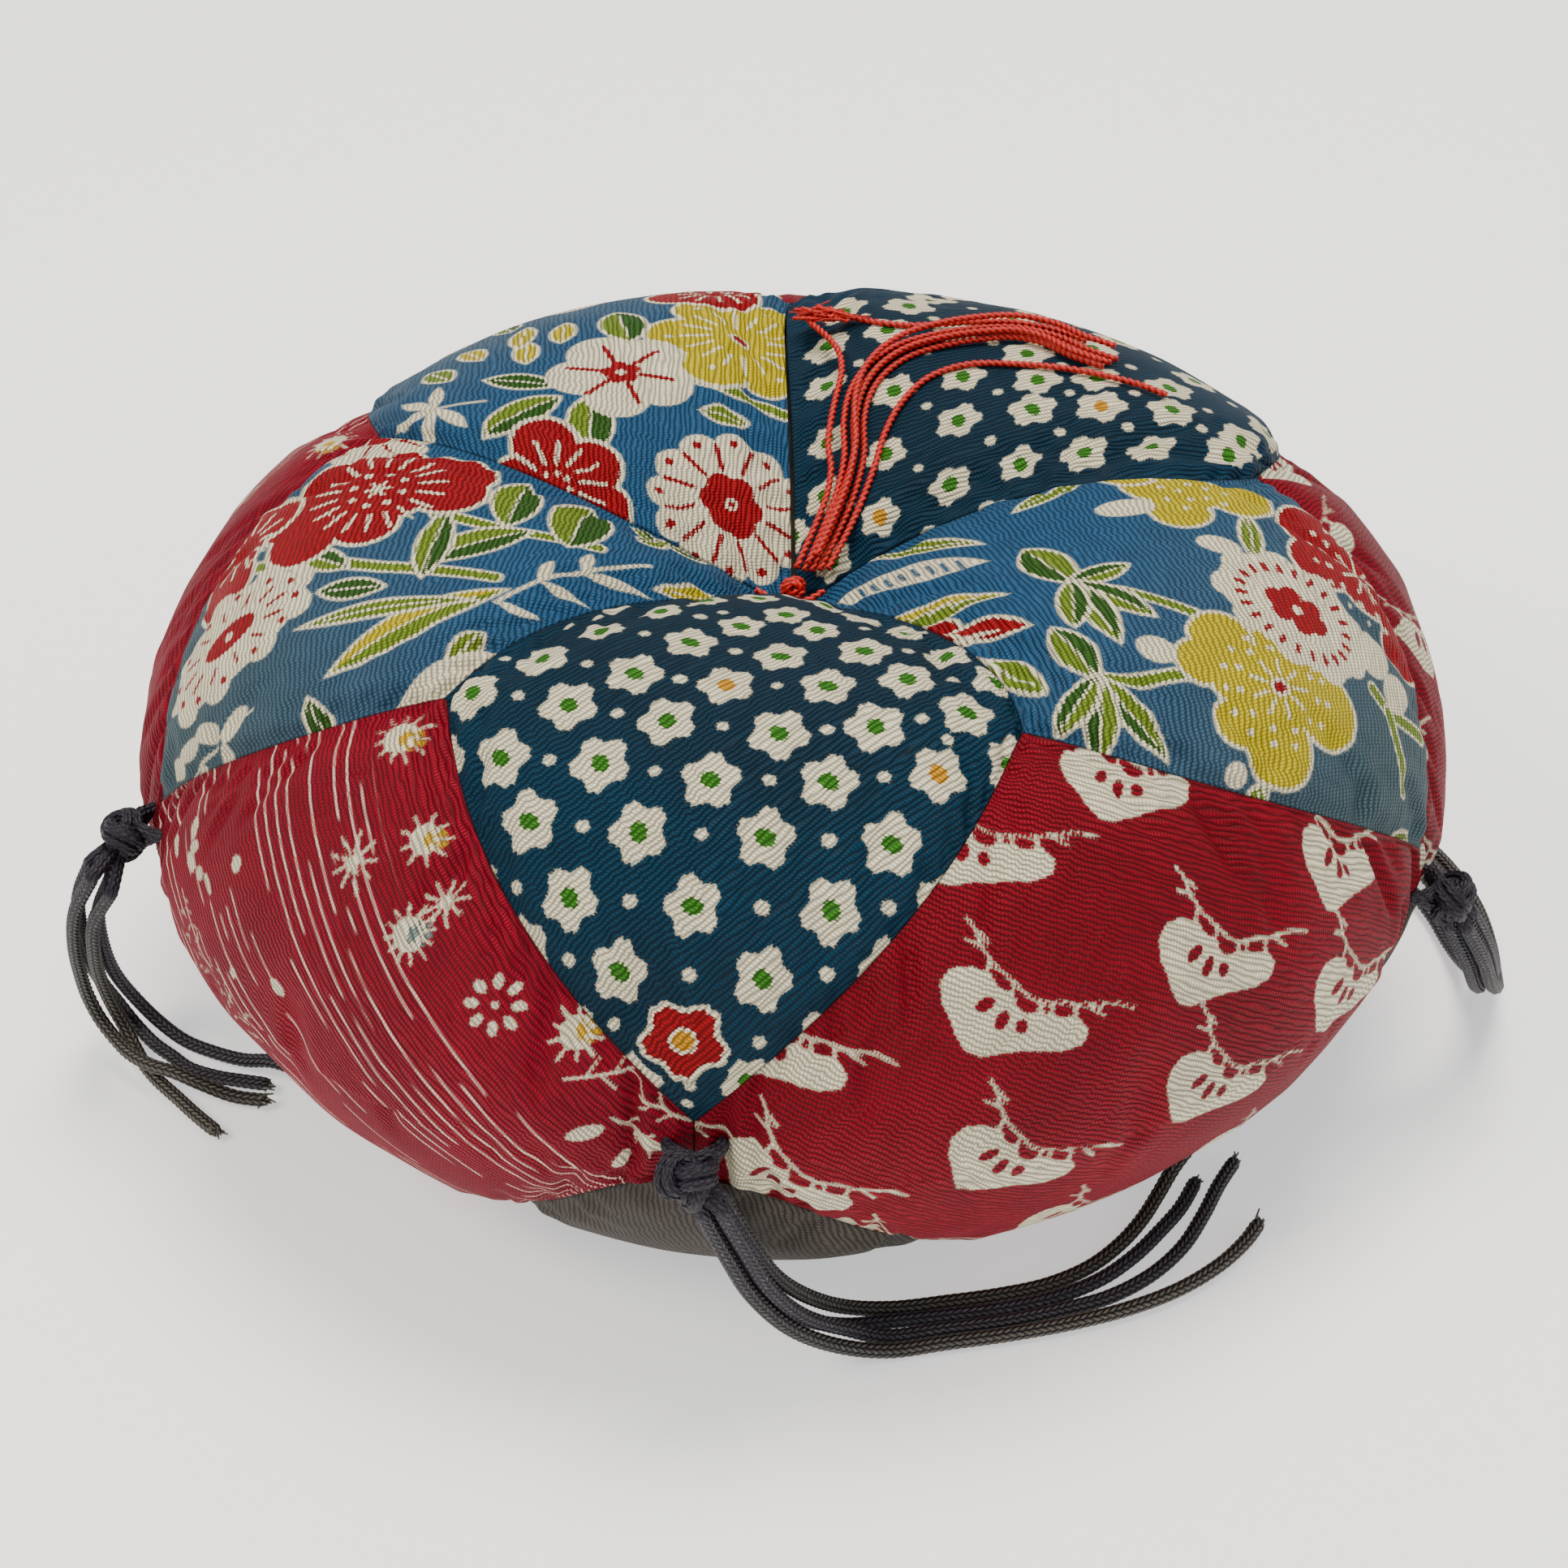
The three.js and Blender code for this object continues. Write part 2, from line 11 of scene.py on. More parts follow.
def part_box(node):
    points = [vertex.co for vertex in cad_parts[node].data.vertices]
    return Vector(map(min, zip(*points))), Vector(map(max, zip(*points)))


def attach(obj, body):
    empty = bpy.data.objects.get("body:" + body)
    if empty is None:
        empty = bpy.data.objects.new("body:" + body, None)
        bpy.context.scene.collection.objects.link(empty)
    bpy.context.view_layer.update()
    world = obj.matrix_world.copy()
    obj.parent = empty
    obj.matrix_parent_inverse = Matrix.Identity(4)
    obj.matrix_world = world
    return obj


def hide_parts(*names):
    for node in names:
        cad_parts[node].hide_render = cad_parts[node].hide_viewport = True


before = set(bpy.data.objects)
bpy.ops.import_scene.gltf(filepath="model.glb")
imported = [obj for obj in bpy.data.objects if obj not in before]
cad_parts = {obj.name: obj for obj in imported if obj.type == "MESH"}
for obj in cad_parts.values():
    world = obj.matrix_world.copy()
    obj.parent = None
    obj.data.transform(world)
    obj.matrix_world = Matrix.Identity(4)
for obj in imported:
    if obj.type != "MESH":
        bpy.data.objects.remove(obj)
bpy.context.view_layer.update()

MM = 0.001

# ---- The cushion's driving dimensions, as the part has them ----
RIM_RADIUS = 54.4
RIM_HEIGHT = 22
CROWN_HEIGHT = 50.3
CROWN_SHARPNESS = 3.52
CROWN_FULLNESS = 2.2
UNDERSIDE_SHARPNESS = 6
DIMPLE_DEPTH = 13.7
DIMPLE_REACH = 0.78
RECESS_DEPTH = 5
RECESS_REACH = 0.35
SEAM_BEND = 0.88
UNDER_CORNER_POLAR = 144
KNOT_REACH = 57.3
KNOT_DROP = 2.7
LOOP_RADIUS = 2.1
TOP_KNOT = (0, 0, 38.9)
UNDER_KNOT = (0, 0, 2.8)

CORD_DIAMETER = 1.24
THREAD_DIAMETER = 0.6
THREAD_LIFT = 2.2                # a tuft thread's middle above the bare profile

# Tips of the star. upper ends the top kite and lower the kite underneath, as polar angles.
Tip = namedtuple("Tip", "name azimuth upper lower loop_height")
TIPS = [
    Tip("front", -98, 83.5, 91.5, 27.2),
    Tip("right", -21.5, 85, 92, 24.5),
    Tip("back_right", 46, 84, 91, 26),
    Tip("back_left", 122, 84, 91, 26),
    Tip("left", 197, 81, 88.5, 28.7),
]
# Inner corners, each between its tip and the next. near and far are how its seam strays.
Corner = namedtuple("Corner", "name azimuth polar near far")
CORNERS = [
    Corner("front_right", -63, 42.5, 0, 3),
    Corner("right_side", 9, 46.5, 7, -6),
    Corner("back", 90, 45, 0, 1),
    Corner("left_side", 160, 43.5, 15, -1),
    Corner("front_left", 226, 44, 0, -1),
]

# ---- Routes of the tassel cords, knot to cut end ----
TASSEL_CORDS = {
    "front": [
        [(-7, -57.5, 21.9), (-5.4, -56.5, 16.8), (-3.5, -55.2, 11.3), (-0.6, -53.6, 6.3),
         (3.2, -51.6, 2.4), (7, -50.5, 0.8), (11.4, -49.7, 0.8), (16.4, -48.8, 0.8),
         (21.4, -47.6, 0.8), (25.9, -46.1, 0.8), (30.1, -44, 0.8), (33.6, -41.3, 0.8),
         (36, -38.6, 0.8), (37.4, -36.4, 0.8)],
        [(-5.6, -57.6, 22.2), (-4, -56.3, 17.1), (-2.2, -54.8, 11.7), (0.3, -52.7, 6.8),
         (3.6, -50.2, 2.9), (6.8, -49, 0.8), (11, -48.3, 0.8), (15.9, -47.5, 0.8),
         (20.3, -46.3, 0.8), (24.3, -44.9, 0.8), (27.9, -42.5, 0.8), (30.8, -39.3, 0.8),
         (33, -35.4, 0.8), (34.6, -32, 0.8), (36.3, -29, 0.8)],
        [(-7.1, -56.1, 21.9), (-5.3, -55, 16.5), (-3.3, -53.6, 10.8), (-0.3, -51.5, 5.6),
         (3.4, -48.8, 1.9), (7.3, -47.3, 0.8), (11.8, -46.7, 0.8), (16.6, -45.9, 0.8),
         (20.5, -44.7, 0.8), (24, -42.8, 0.8), (26.9, -40.2, 0.8), (29.2, -37.4, 0.8),
         (31.2, -34.6, 0.8), (32.8, -31.4, 0.8)],
        [(-5.7, -56.2, 22.3), (-3.8, -54.7, 16.7), (-1.7, -52.8, 11), (1, -49.8, 5.8),
         (4.1, -47, 2), (7.5, -45.9, 0.8), (11.5, -45.3, 0.8), (15.9, -44.5, 0.8),
         (19.7, -43.4, 0.8), (23.1, -41.5, 0.8), (25.8, -38.9, 0.8), (27.9, -36, 0.8),
         (29.5, -33.2, 1), (31, -31, 2), (32.6, -29.6, 3.4)],
    ],
    "right": [
        [(54.6, -21.9, 19.6), (57.1, -19.3, 14.2), (59.2, -15.5, 8.5), (61, -10.9, 4.5),
         (62.2, -5.6, 1.8), (62.9, -0.6, 0.8), (62.8, 4.3, 0.8), (61.9, 9.2, 0.8),
         (60.3, 13.7, 0.8), (58.1, 18, 0.8), (55.3, 22.1, 0.8), (52.2, 25.8, 0.8),
         (49, 29, 0.8)],
        [(53.3, -21.3, 19.4), (55.8, -18.7, 13.7), (57.9, -14.9, 8.1), (59.7, -10.3, 4.1),
         (60.8, -5.2, 1.6), (61.5, -0.3, 0.8), (61.4, 4.2, 0.8), (60.6, 8.8, 0.8),
         (59, 13.1, 0.8), (56.8, 17.1, 0.8), (54.1, 21, 0.8), (50.9, 24.5, 0.8),
         (47.6, 27.4, 0.8)],
        [(55.1, -20.8, 20.4), (57.6, -18.1, 14.8), (59.5, -14.1, 9.3), (60.8, -9.4, 5.3),
         (61, -4.6, 3), (60.3, -0.1, 1.7), (59.9, 4.1, 0.8), (59.2, 8.4, 0.8), (57.6, 12.5, 0.8),
         (55.3, 16.3, 0.8), (52.6, 19.8, 0.8), (49.8, 23, 0.8), (47, 25.6, 0.8)],
        [(54.2, -19.8, 19.6), (56.4, -17.4, 14.3), (58.2, -13.7, 8.9), (59.3, -9.2, 4.9),
         (59.4, -4.6, 2.2), (59, -0.3, 1), (58.3, 4, 0.8), (57, 8.1, 0.8), (55.3, 11.8, 0.8),
         (52.9, 15.4, 0.8), (50.3, 18.7, 0.8), (47.6, 21.6, 0.8), (44.9, 24.4, 0.8)],
    ],
    "left": [
        [(-56.9, -20.4, 24.6), (-59.2, -18.7, 19.9), (-60.5, -16.2, 14.5), (-61.1, -13.8, 9.5),
         (-61.1, -12.6, 5.9), (-60.4, -12.8, 3.7), (-59, -14.2, 2.6), (-57.3, -16.2, 2.4),
         (-55.3, -17.8, 2.5), (-53.1, -18.8, 2.5), (-50.8, -19.6, 1.9), (-48, -20.2, 1),
         (-45.2, -20.6, 0.8)],
        [(-55.9, -18.8, 23.2), (-57.8, -16.8, 18.5), (-58.6, -14.4, 13.2), (-58.6, -12.1, 8.1),
         (-57.6, -10.8, 4.3), (-55.7, -11.2, 1.9), (-53.4, -12.5, 0.8), (-50.7, -14.1, 0.8),
         (-47.7, -15.7, 1.2), (-45, -17.1, 2.2), (-42.6, -18.8, 2.7)],
        [(-57.2, -18.8, 25), (-59.1, -17.2, 20.5), (-60.1, -14.8, 15.5), (-60.7, -12.3, 10.5),
         (-60.5, -10.5, 6.3), (-59.3, -10.1, 3.2), (-57.6, -11.3, 1.4), (-55.8, -13.1, 0.8),
         (-54.1, -14.7, 0.8), (-52.4, -16.3, 0.8), (-50, -17.4, 0.8), (-47.6, -18, 0.8),
         (-45.2, -18.5, 0.8)],
        [(-55.6, -20.4, 23), (-57.9, -18.4, 18.5), (-59, -16, 13.1), (-59.5, -13.6, 8.6),
         (-59.2, -12.4, 4.8), (-58.4, -12.6, 2.5), (-57.4, -13.9, 1.1), (-56.3, -15.8, 0.8),
         (-54.9, -17.8, 0.8), (-52.9, -20.1, 0.8), (-50.9, -22.4, 0.8), (-48.8, -24.6, 0.8)],
    ],
}

# ---- Routes of the tuft threads, in plan ----
TUFT_BUNDLE = [
    (1.6, 1), (3.3, 4.4), (4.5, 7.3), (5.3, 10.8), (5.4, 14.7), (6.1, 17.8), (7.6, 20.4),
    (9.9, 22.5), (13.1, 23.9), (16.6, 24.8), (20, 25.2), (22.8, 24), (25, 21.6), (27.6, 19.8),
]
# How far each thread of the bundle lies to the right at the knot and at its end, and its layer.
BUNDLE_THREADS = [(-0.7, -1.4, 0), (0, -0.2, 0), (0.7, 1.1, 0), (-0.4, 1.5, 0.75),
                  (0.4, -0.9, 1.45)]
TUFT_STRAYS = [
    [(0.3, 1.7), (1.9, 5), (2.9, 7.5), (3.3, 10), (3.1, 12.4), (3.4, 15), (3.9, 17.6),
     (4.4, 20.4), (4.2, 22.8), (3.4, 24.8), (2.4, 26.4), (1.7, 27.8), (2.4, 29), (4, 29),
     (6, 28), (8.2, 27.1), (10.6, 26.6), (13.4, 26.8), (16.4, 27.3), (19.8, 27.7),
     (23.2, 26.9), (26, 24.8)],
    [(2.9, 0.3), (4.7, 3.7), (6, 6.6), (7, 9.4), (8, 12.8), (9.6, 16), (12, 18.6),
     (15.4, 19.8), (19, 19.4), (22.6, 18.6), (26.2, 17.4), (29.6, 15.9), (32, 14.4)],
]


# ==== Camera ====
CAMERA_PLACE = (-0.9, -223.9, 177.3)
CAMERA_DOWN = 35.28              # degrees below the horizon
CAMERA_ROLL = -0.41
CAMERA_LENS = 72.2
SENSOR_WIDTH = 36


def make_camera():
    data = bpy.data.cameras.new("camera")
    data.lens = CAMERA_LENS
    data.sensor_width = SENSOR_WIDTH
    data.clip_start = 0.005
    data.clip_end = 20
    camera = bpy.data.objects.new("camera", data)
    pitch = Matrix.Rotation(math.radians(90 - CAMERA_DOWN), 4, "X")
    roll = Matrix.Rotation(math.radians(CAMERA_ROLL), 4, "Z")
    place = Matrix.Translation(Vector(CAMERA_PLACE) * MM)
    camera.matrix_world = place @ pitch @ roll
    bpy.context.collection.objects.link(camera)
    bpy.context.scene.camera = camera


# ==== Meshes ====
def smoothstep(x):
    x = np.clip(x, 0, 1)
    return x * x * (3 - 2 * x)


def new_mesh_object(name, points, faces):
    """A smooth-shaded mesh from points in millimetres."""
    mesh = bpy.data.meshes.new(name)
    mesh.from_pydata((np.asarray(points) * MM).tolist(), [], faces)
    mesh.update()
    mesh.polygons.foreach_set("use_smooth", np.ones(len(mesh.polygons), dtype=bool))
    piece = bpy.data.objects.new(name, mesh)
    bpy.context.collection.objects.link(piece)
    return piece


def add_values(piece, name, values):
    """A vector for each vertex, for the material to read."""
    attribute = piece.data.attributes.new(name, "FLOAT_VECTOR", "POINT")
    attribute.data.foreach_set("vector", np.asarray(values, dtype=np.float32).ravel())


def grid_faces(columns, rows, first=0):
    """Quads of a grid of (rows + 1) x (columns + 1) points, row by row."""
    j, i = np.mgrid[0:rows, 0:columns]
    a = first + j * (columns + 1) + i
    quads = np.stack([a, a + 1, a + columns + 2, a + columns + 1], -1)
    return quads.reshape(-1, 4).tolist()


# ==== Tubes along a route ====
ROUTE_SPLITS = 40                # straight bits between two points, before they are evened out


def way_along(points, power=1):
    """The distance from the first point to each, with each step raised to the power."""
    steps = np.linalg.norm(np.diff(points, axis=0), axis=1)
    return np.concatenate([[0], np.cumsum(steps ** power)])


def smooth_route(points, step):
    """The centripetal Catmull-Rom curve through the points, at an even step."""
    p = np.asarray(points, dtype=float)
    p = np.vstack([2 * p[0] - p[1], p, 2 * p[-1] - p[-2]])
    knots = way_along(p, 0.5)
    dense = []
    for k in range(1, len(p) - 2):
        t = np.linspace(knots[k], knots[k + 1], ROUTE_SPLITS, endpoint=False)[:, None]
        t0, t1, t2, t3 = knots[k - 1:k + 3]
        a1 = ((t1 - t) * p[k - 1] + (t - t0) * p[k]) / (t1 - t0)
        a2 = ((t2 - t) * p[k] + (t - t1) * p[k + 1]) / (t2 - t1)
        a3 = ((t3 - t) * p[k + 1] + (t - t2) * p[k + 2]) / (t3 - t2)
        b1 = ((t2 - t) * a1 + (t - t0) * a2) / (t2 - t0)
        b2 = ((t3 - t) * a2 + (t - t1) * a3) / (t3 - t1)
        dense.append(((t2 - t) * b1 + (t - t1) * b2) / (t2 - t1))
    dense = np.vstack([*dense, p[-2:-1]])
    along = way_along(dense)
    even = np.linspace(0, along[-1], max(int(along[-1] / step), 2) + 1)
    return np.stack([np.interp(even, along, dense[:, k]) for k in range(3)], -1), even


def frames_along(line):
    """Two unit vectors across the line at each point, turned as little as they can be."""
    tangents = np.gradient(line, axis=0)
    tangents /= np.linalg.norm(tangents, axis=1)[:, None]
    side = np.cross(tangents[0], (0, 0, 1))
    if np.linalg.norm(side) < 0.1:
        side = np.cross(tangents[0], (0, 1, 0))
    sides = []
    for tangent in tangents:
        side = side - tangent * side.dot(tangent)
        side = side / np.linalg.norm(side)
        sides.append(side)
    sides = np.array(sides)
    return sides, np.cross(tangents, sides)


def tube(line, radii):
    """Points and faces of a capped tube round a line. radii holds one row for each ring."""
    rings, sides = radii.shape
    across, over = frames_along(line)
    angle = np.linspace(0, 2 * np.pi, sides, endpoint=False)
    spokes = (across[:, None] * np.cos(angle)[None, :, None]
              + over[:, None] * np.sin(angle)[None, :, None])
    points = (line[:, None] + spokes * radii[:, :, None]).reshape(-1, 3)
    j, i = np.mgrid[0:rings - 1, 0:sides]
    near, far = j * sides + i, j * sides + (i + 1) % sides
    faces = np.stack([near, near + sides, far + sides, far], -1).reshape(-1, 4)[:, ::-1].tolist()
    start, end = len(points), len(points) + 1
    points = np.vstack([points, line[:1], line[-1:]])
    last = (rings - 1) * sides
    for i in range(sides):
        faces.append((start, i, (i + 1) % sides)[::-1])
        faces.append((end, last + (i + 1) % sides, last + i)[::-1])
    return points, faces


BRAID_COLUMNS = 8
BRAID_PITCH = 0.62
BRAID_SLANT = 1.1
BRAID_WIDTH = 0.86               # how much of its column a stitch fills
BRAID_ROUNDNESS = 0.75
BRAID_SIDES = 32
BRAID_CORE, BRAID_RELIEF = 0.8, 0.22       # shares of the radius
PLY_PITCH = 1.25
PLY_CORE, PLY_RELIEF = 0.62, 0.42
END_TAPER = 0.25                 # how much thinner a cord is at its very end
TAPER_LENGTH = 0.5


def braid_height(along):
    """From 0 in a groove to 1 on a stitch: columns of slanted stitches in a herringbone."""
    column = np.linspace(0, BRAID_COLUMNS, BRAID_SIDES, endpoint=False)[None, :]
    index = np.floor(column)
    local = column - index - 0.5
    odd = index % 2
    stitch = along[:, None] / BRAID_PITCH + (1 - 2 * odd) * local * BRAID_SLANT + 0.5 * odd
    crown = np.cos(np.pi * local * BRAID_WIDTH)
    return (np.abs(np.sin(np.pi * stitch)) * crown) ** BRAID_ROUNDNESS


def ply_height(along, sides):
    """The same for two plies twisted together."""
    angle = np.linspace(0, 2 * np.pi, sides, endpoint=False)[None, :]
    turn = 2 * np.pi * along[:, None] / PLY_PITCH
    return 0.5 + 0.5 * np.cos(2 * (angle - turn))


def join_parts(parts):
    """One list of points, faces and values from several (points, faces, values)."""
    points, faces, values, first = [], [], [], 0
    for part_points, part_faces, part_values in parts:
        points.append(part_points)
        faces += [tuple(v + first for v in face) for face in part_faces]
        values.append(part_values)
        first += len(part_points)
    return np.vstack(points), faces, np.concatenate(values)


def strand_values(height, along, at_ends):
    """For each point of a tube: its relief, the share of the way along, and nothing."""
    fade = np.repeat(along / along[-1], height.shape[1])
    relief = np.append(height.ravel(), [at_ends, at_ends])
    return np.stack([relief, np.append(fade, [0, 1]), np.zeros(len(relief))], -1)


def cord_part(line, along, radius):
    height = braid_height(along)
    ends = smoothstep(np.minimum(along, along[-1] - along) / TAPER_LENGTH)[:, None]
    radii = radius * (BRAID_CORE + BRAID_RELIEF * height) * (1 - END_TAPER + END_TAPER * ends)
    return *tube(line, radii), strand_values(height, along, 0.3)


def thread_part(line, along, radius, sides=12):
    height = ply_height(along, sides)
    points, faces = tube(line, radius * (PLY_CORE + PLY_RELIEF * height))
    return points, faces, strand_values(height, along, 0.5)


def dress(piece, material, body, slot_name, *replaced):
    """Gives a piece its material and body, and the nodes that it stands for. slot_name is not used."""
    piece.data.materials.append(material)
    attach(piece, body)
    if replaced:
        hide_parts(*replaced)
    return piece


def strand_piece(name, parts, material, body, slot_name, *replaced):
    """One piece from several tube parts."""
    points, faces, values = join_parts(parts)
    piece = new_mesh_object(name, points, faces)
    add_values(piece, "strand", values)
    return dress(piece, material, body, slot_name, *replaced)


# ==== Materials ====
# The inks of a print, each laid over those before it.
INKS = {"cream": "#cdc4a8", "red": "#82000c", "green": "#5f741c", "dark": "#284a14",
        "yellow": "#a89710", "grey": "#7d8780"}
LAYERS = tuple(INKS)
# Painted shade in the grooves between the crepe's ridges and between the twists of a ridge.
GROOVE_SHADE = 0.52
TWIST_SHADE = 0.72
# A painted highlight on the crests of the crepe's threads.
CREST_HIGHLIGHT = 1.6
# Painted shade along the seams, where the cloth dips into the crease.
SEAM_SHADE = 0.7
MOTTLE_SHADES = (0.93, 1.06)
INK_SPREAD = 0.07                # half the width of a print's soft edge
RAGGED_BY_RIDGE, RAGGED_BY_STITCH = 0.16, 0.1
CREPE_LIFT = 0.12
# Painted shade between a braid's stitches.
BRAID_GAP_SHADE = "#050407"
# A painted highlight on the fibres of the red thread.
THREAD_GLINT = "#dc4a38"
STREAK_WHITE = "#c89f92"
STREAK_LEAN = -42                # degrees
SHEAF_EDGE = (5.6, 6.4)          # the sheaf's two sides and the strays', across the streaks
SHEAF_END = (17.8, 17.0)
STRAY_END = (3.6, 2.8)
STREAK_PITCH = 1.15
STREAK_BEND = 2.0
DASH_LENGTHS = 0.11              # noise per millimetre along a streak
DASH_ROWS = 5.37                 # and from one streak to the next
# Painted sheen: where light grazes the blue cloth near the rim, it turns grey.
BLUE_RIM_SHEEN = (24, 62)             # from the middle, where the blue turns grey towards the rim


def colour(text):
    """Linear RGBA of an sRGB hex colour."""
    values = [int(text[k:k + 2], 16) / 255 for k in (1, 3, 5)]
    linear = [v / 12.92 if v <= 0.04045 else ((v + 0.055) / 1.055) ** 2.4 for v in values]
    return (*linear, 1)


class Shader:
    """A material's node tree, with short ways to add the nodes that are used here."""

    def __init__(self, name):
        self.material = bpy.data.materials.new(name)
        self.material.use_nodes = True
        self.tree = self.material.node_tree
        self.surface = self.tree.nodes["Principled BSDF"]

    def put(self, value, socket):
        if isinstance(value, bpy.types.NodeSocket):
            self.tree.links.new(value, socket)
        elif isinstance(value, str):
            socket.default_value = colour(value)
        else:
            socket.default_value = value

    def node(self, kind, **settings):
        node = self.tree.nodes.new(kind)
        for key, value in settings.items():
            setattr(node, key, value)
        return node

    def attribute(self, name):
        return self.node("ShaderNodeAttribute", attribute_name=name).outputs["Vector"]

    def split(self, vector):
        node = self.node("ShaderNodeSeparateXYZ")
        self.put(vector, node.inputs[0])
        return node.outputs

    def scaled(self, vector, scale, turn=0):
        node = self.node("ShaderNodeMapping")
        self.put(vector, node.inputs["Vector"])
        node.inputs["Rotation"].default_value = (0, 0, math.radians(turn))
        node.inputs["Scale"].default_value = scale
        return node.outputs[0]

    def noise(self, vector, scale, detail=2.0, roughness=0.5):
        node = self.node("ShaderNodeTexNoise")
        self.put(vector, node.inputs["Vector"])
        node.inputs["Scale"].default_value = scale
        node.inputs["Detail"].default_value = detail
        node.inputs["Roughness"].default_value = roughness
        return node.outputs[0]

    def math(self, operation, *values):
        node = self.node("ShaderNodeMath", operation=operation)
        for value, socket in zip((*values, 0.0, 0.0), node.inputs):
            self.put(value, socket)
        return node.outputs[0]

    def plus(self, first, *others):
        for other in others:
            first = self.math("ADD", first, other)
        return first

    def times(self, first, *others):
        for other in others:
            first = self.math("MULTIPLY", first, other)
        return first

    def minus(self, a, b):
        return self.math("SUBTRACT", a, b)

    def over(self, a, b):
        return self.math("DIVIDE", a, b)

    def ramp(self, value, low, high, to_low=0.0, to_high=1.0):
        node = self.node("ShaderNodeMapRange", interpolation_type="SMOOTHSTEP")
        for item, socket in zip((value, low, high, to_low, to_high), node.inputs):
            self.put(item, socket)
        return node.outputs[0]

    def mix(self, share, a, b, blend="MIX"):
        node = self.node("ShaderNodeMix", data_type="RGBA", blend_type=blend)
        self.put(share, node.inputs[0])
        self.put(a, node.inputs[6])
        self.put(b, node.inputs[7])
        return node.outputs[2]

    def grey(self, value):
        """The same number for red, green and blue."""
        node = self.node("ShaderNodeCombineColor")
        for socket in node.inputs:
            self.put(value, socket)
        return node.outputs[0]

    def bump(self, height, distance, strength=1.0):
        node = self.node("ShaderNodeBump")
        self.put(height, node.inputs["Height"])
        node.inputs["Distance"].default_value = distance * MM
        node.inputs["Strength"].default_value = strength
        self.put(node.outputs[0], self.surface.inputs["Normal"])

    def finish(self, base, roughness, specular=0.5):
        self.put(base, self.surface.inputs["Base Color"])
        self.put(roughness, self.surface.inputs["Roughness"])
        self.put(specular, self.surface.inputs["Specular IOR Level"])
        return self.material


RIDGE_PITCH = 0.43               # crepe ridges
RIDGE_DRIFT = 1.8                # how far a ridge wanders over the whole cloth
RIDGE_RIPPLE = 0.75              # and from one place to the next
RIPPLE_SCALE = (0.42, 0.3, 1)
STITCH_PITCH = 0.27              # twists along a ridge
STITCH_SLANT = 0.55
STITCH_OFFSET = 0.37             # from one ridge to the next


def rounded_wave(shader, phase):
    """1 on the crest of each period and 0 in the groove between two."""
    off = shader.minus(shader.math("FRACT", phase), 0.5)
    fall = shader.times(shader.math("POWER", shader.math("ABSOLUTE", off), 2.0), 4.0)
    return shader.minus(1.0, fall)


def crepe_relief(shader, cloth, ridge_lean):
    """Ridges of twisted weft that run at ridge_lean degrees on the cloth, and their twists."""
    turned = shader.split(shader.scaled(cloth, (1, 1, 1), -ridge_lean))
    drift = shader.times(shader.noise(cloth, 0.05, detail=0), RIDGE_DRIFT)
    ripple = shader.noise(shader.scaled(cloth, RIPPLE_SCALE, -ridge_lean), 1.0, detail=2)
    wander = shader.plus(drift, shader.times(ripple, RIDGE_RIPPLE))
    phase = shader.over(shader.plus(turned[1], wander), RIDGE_PITCH)
    slant = shader.times(shader.math("FRACT", phase), STITCH_SLANT)
    offset = shader.times(shader.math("FLOOR", phase), STITCH_OFFSET)
    along = shader.over(turned[0], STITCH_PITCH)
    stitch = rounded_wave(shader, shader.plus(along, shader.plus(slant, offset)))
    return rounded_wave(shader, phase), stitch


def printed_crepe(name, ground, ground_far, ridge_lean, colours=None, streaks=False, fade=None):
    """Crepe silk with a print. The vertices carry, for each ink, how far the print's edge is,
    and "cloth" holds the place on the flat cloth with the distance to the seam."""
    palette = {**INKS, **(colours or {})}
    shader = Shader(name)
    cloth = shader.attribute("cloth")
    ridge, stitch = crepe_relief(shader, cloth, ridge_lean)
    _, down, seam = shader.split(cloth)
    ragged = shader.plus(shader.times(shader.minus(ridge, 0.6), RAGGED_BY_RIDGE),
                         shader.times(shader.minus(stitch, 0.6), RAGGED_BY_STITCH))
    # For the blue, a painted sheen that greys the ground towards the rim; otherwise the cloth's own
    # patchy tone.
    if fade:
        far = shader.ramp(down, *fade)
    else:
        far = shader.ramp(shader.noise(cloth, 0.045, detail=1), 0.35, 0.65)
    base = shader.mix(far, ground, ground_far)
    if streaks:
        base = streaked(shader, cloth, base)
    edges = [edge for layers in ("print_a", "print_b")
             for edge in shader.split(shader.attribute(layers))]
    for layer, edge in zip(LAYERS, edges):
        ink = shader.ramp(shader.plus(edge, ragged), INK_SPREAD, -INK_SPREAD)
        base = shader.mix(ink, base, palette[layer])
    # Where the top of a ridge meets the top of a twist, for the painted highlight.
    crest = shader.times(shader.ramp(ridge, 0.8, 1.0), shader.ramp(stitch, 0.4, 1.0))
    mottle = shader.noise(cloth, 0.35, detail=2)
    # Painted shade in the grooves, between the twists and along the seams, a painted highlight on the
    # crests, and the cloth's own mottle.
    shade = shader.times(shader.ramp(ridge, 0.0, 0.75, GROOVE_SHADE, 1.0),
                         shader.ramp(stitch, 0.0, 0.8, TWIST_SHADE, 1.0),
                         shader.ramp(crest, 0.0, 1.0, 1.0, CREST_HIGHLIGHT),
                         shader.ramp(seam, 0.0, 0.25, SEAM_SHADE, 1.0),
                         shader.ramp(mottle, 0.3, 0.7, *MOTTLE_SHADES))
    base = shader.mix(1.0, base, shader.grey(shade), "MULTIPLY")
    height = shader.plus(shader.times(ridge, 0.75), shader.times(ridge, stitch, 0.35))
    shader.bump(height, CREPE_LIFT)
    return shader.finish(base, 0.62, specular=0.12)


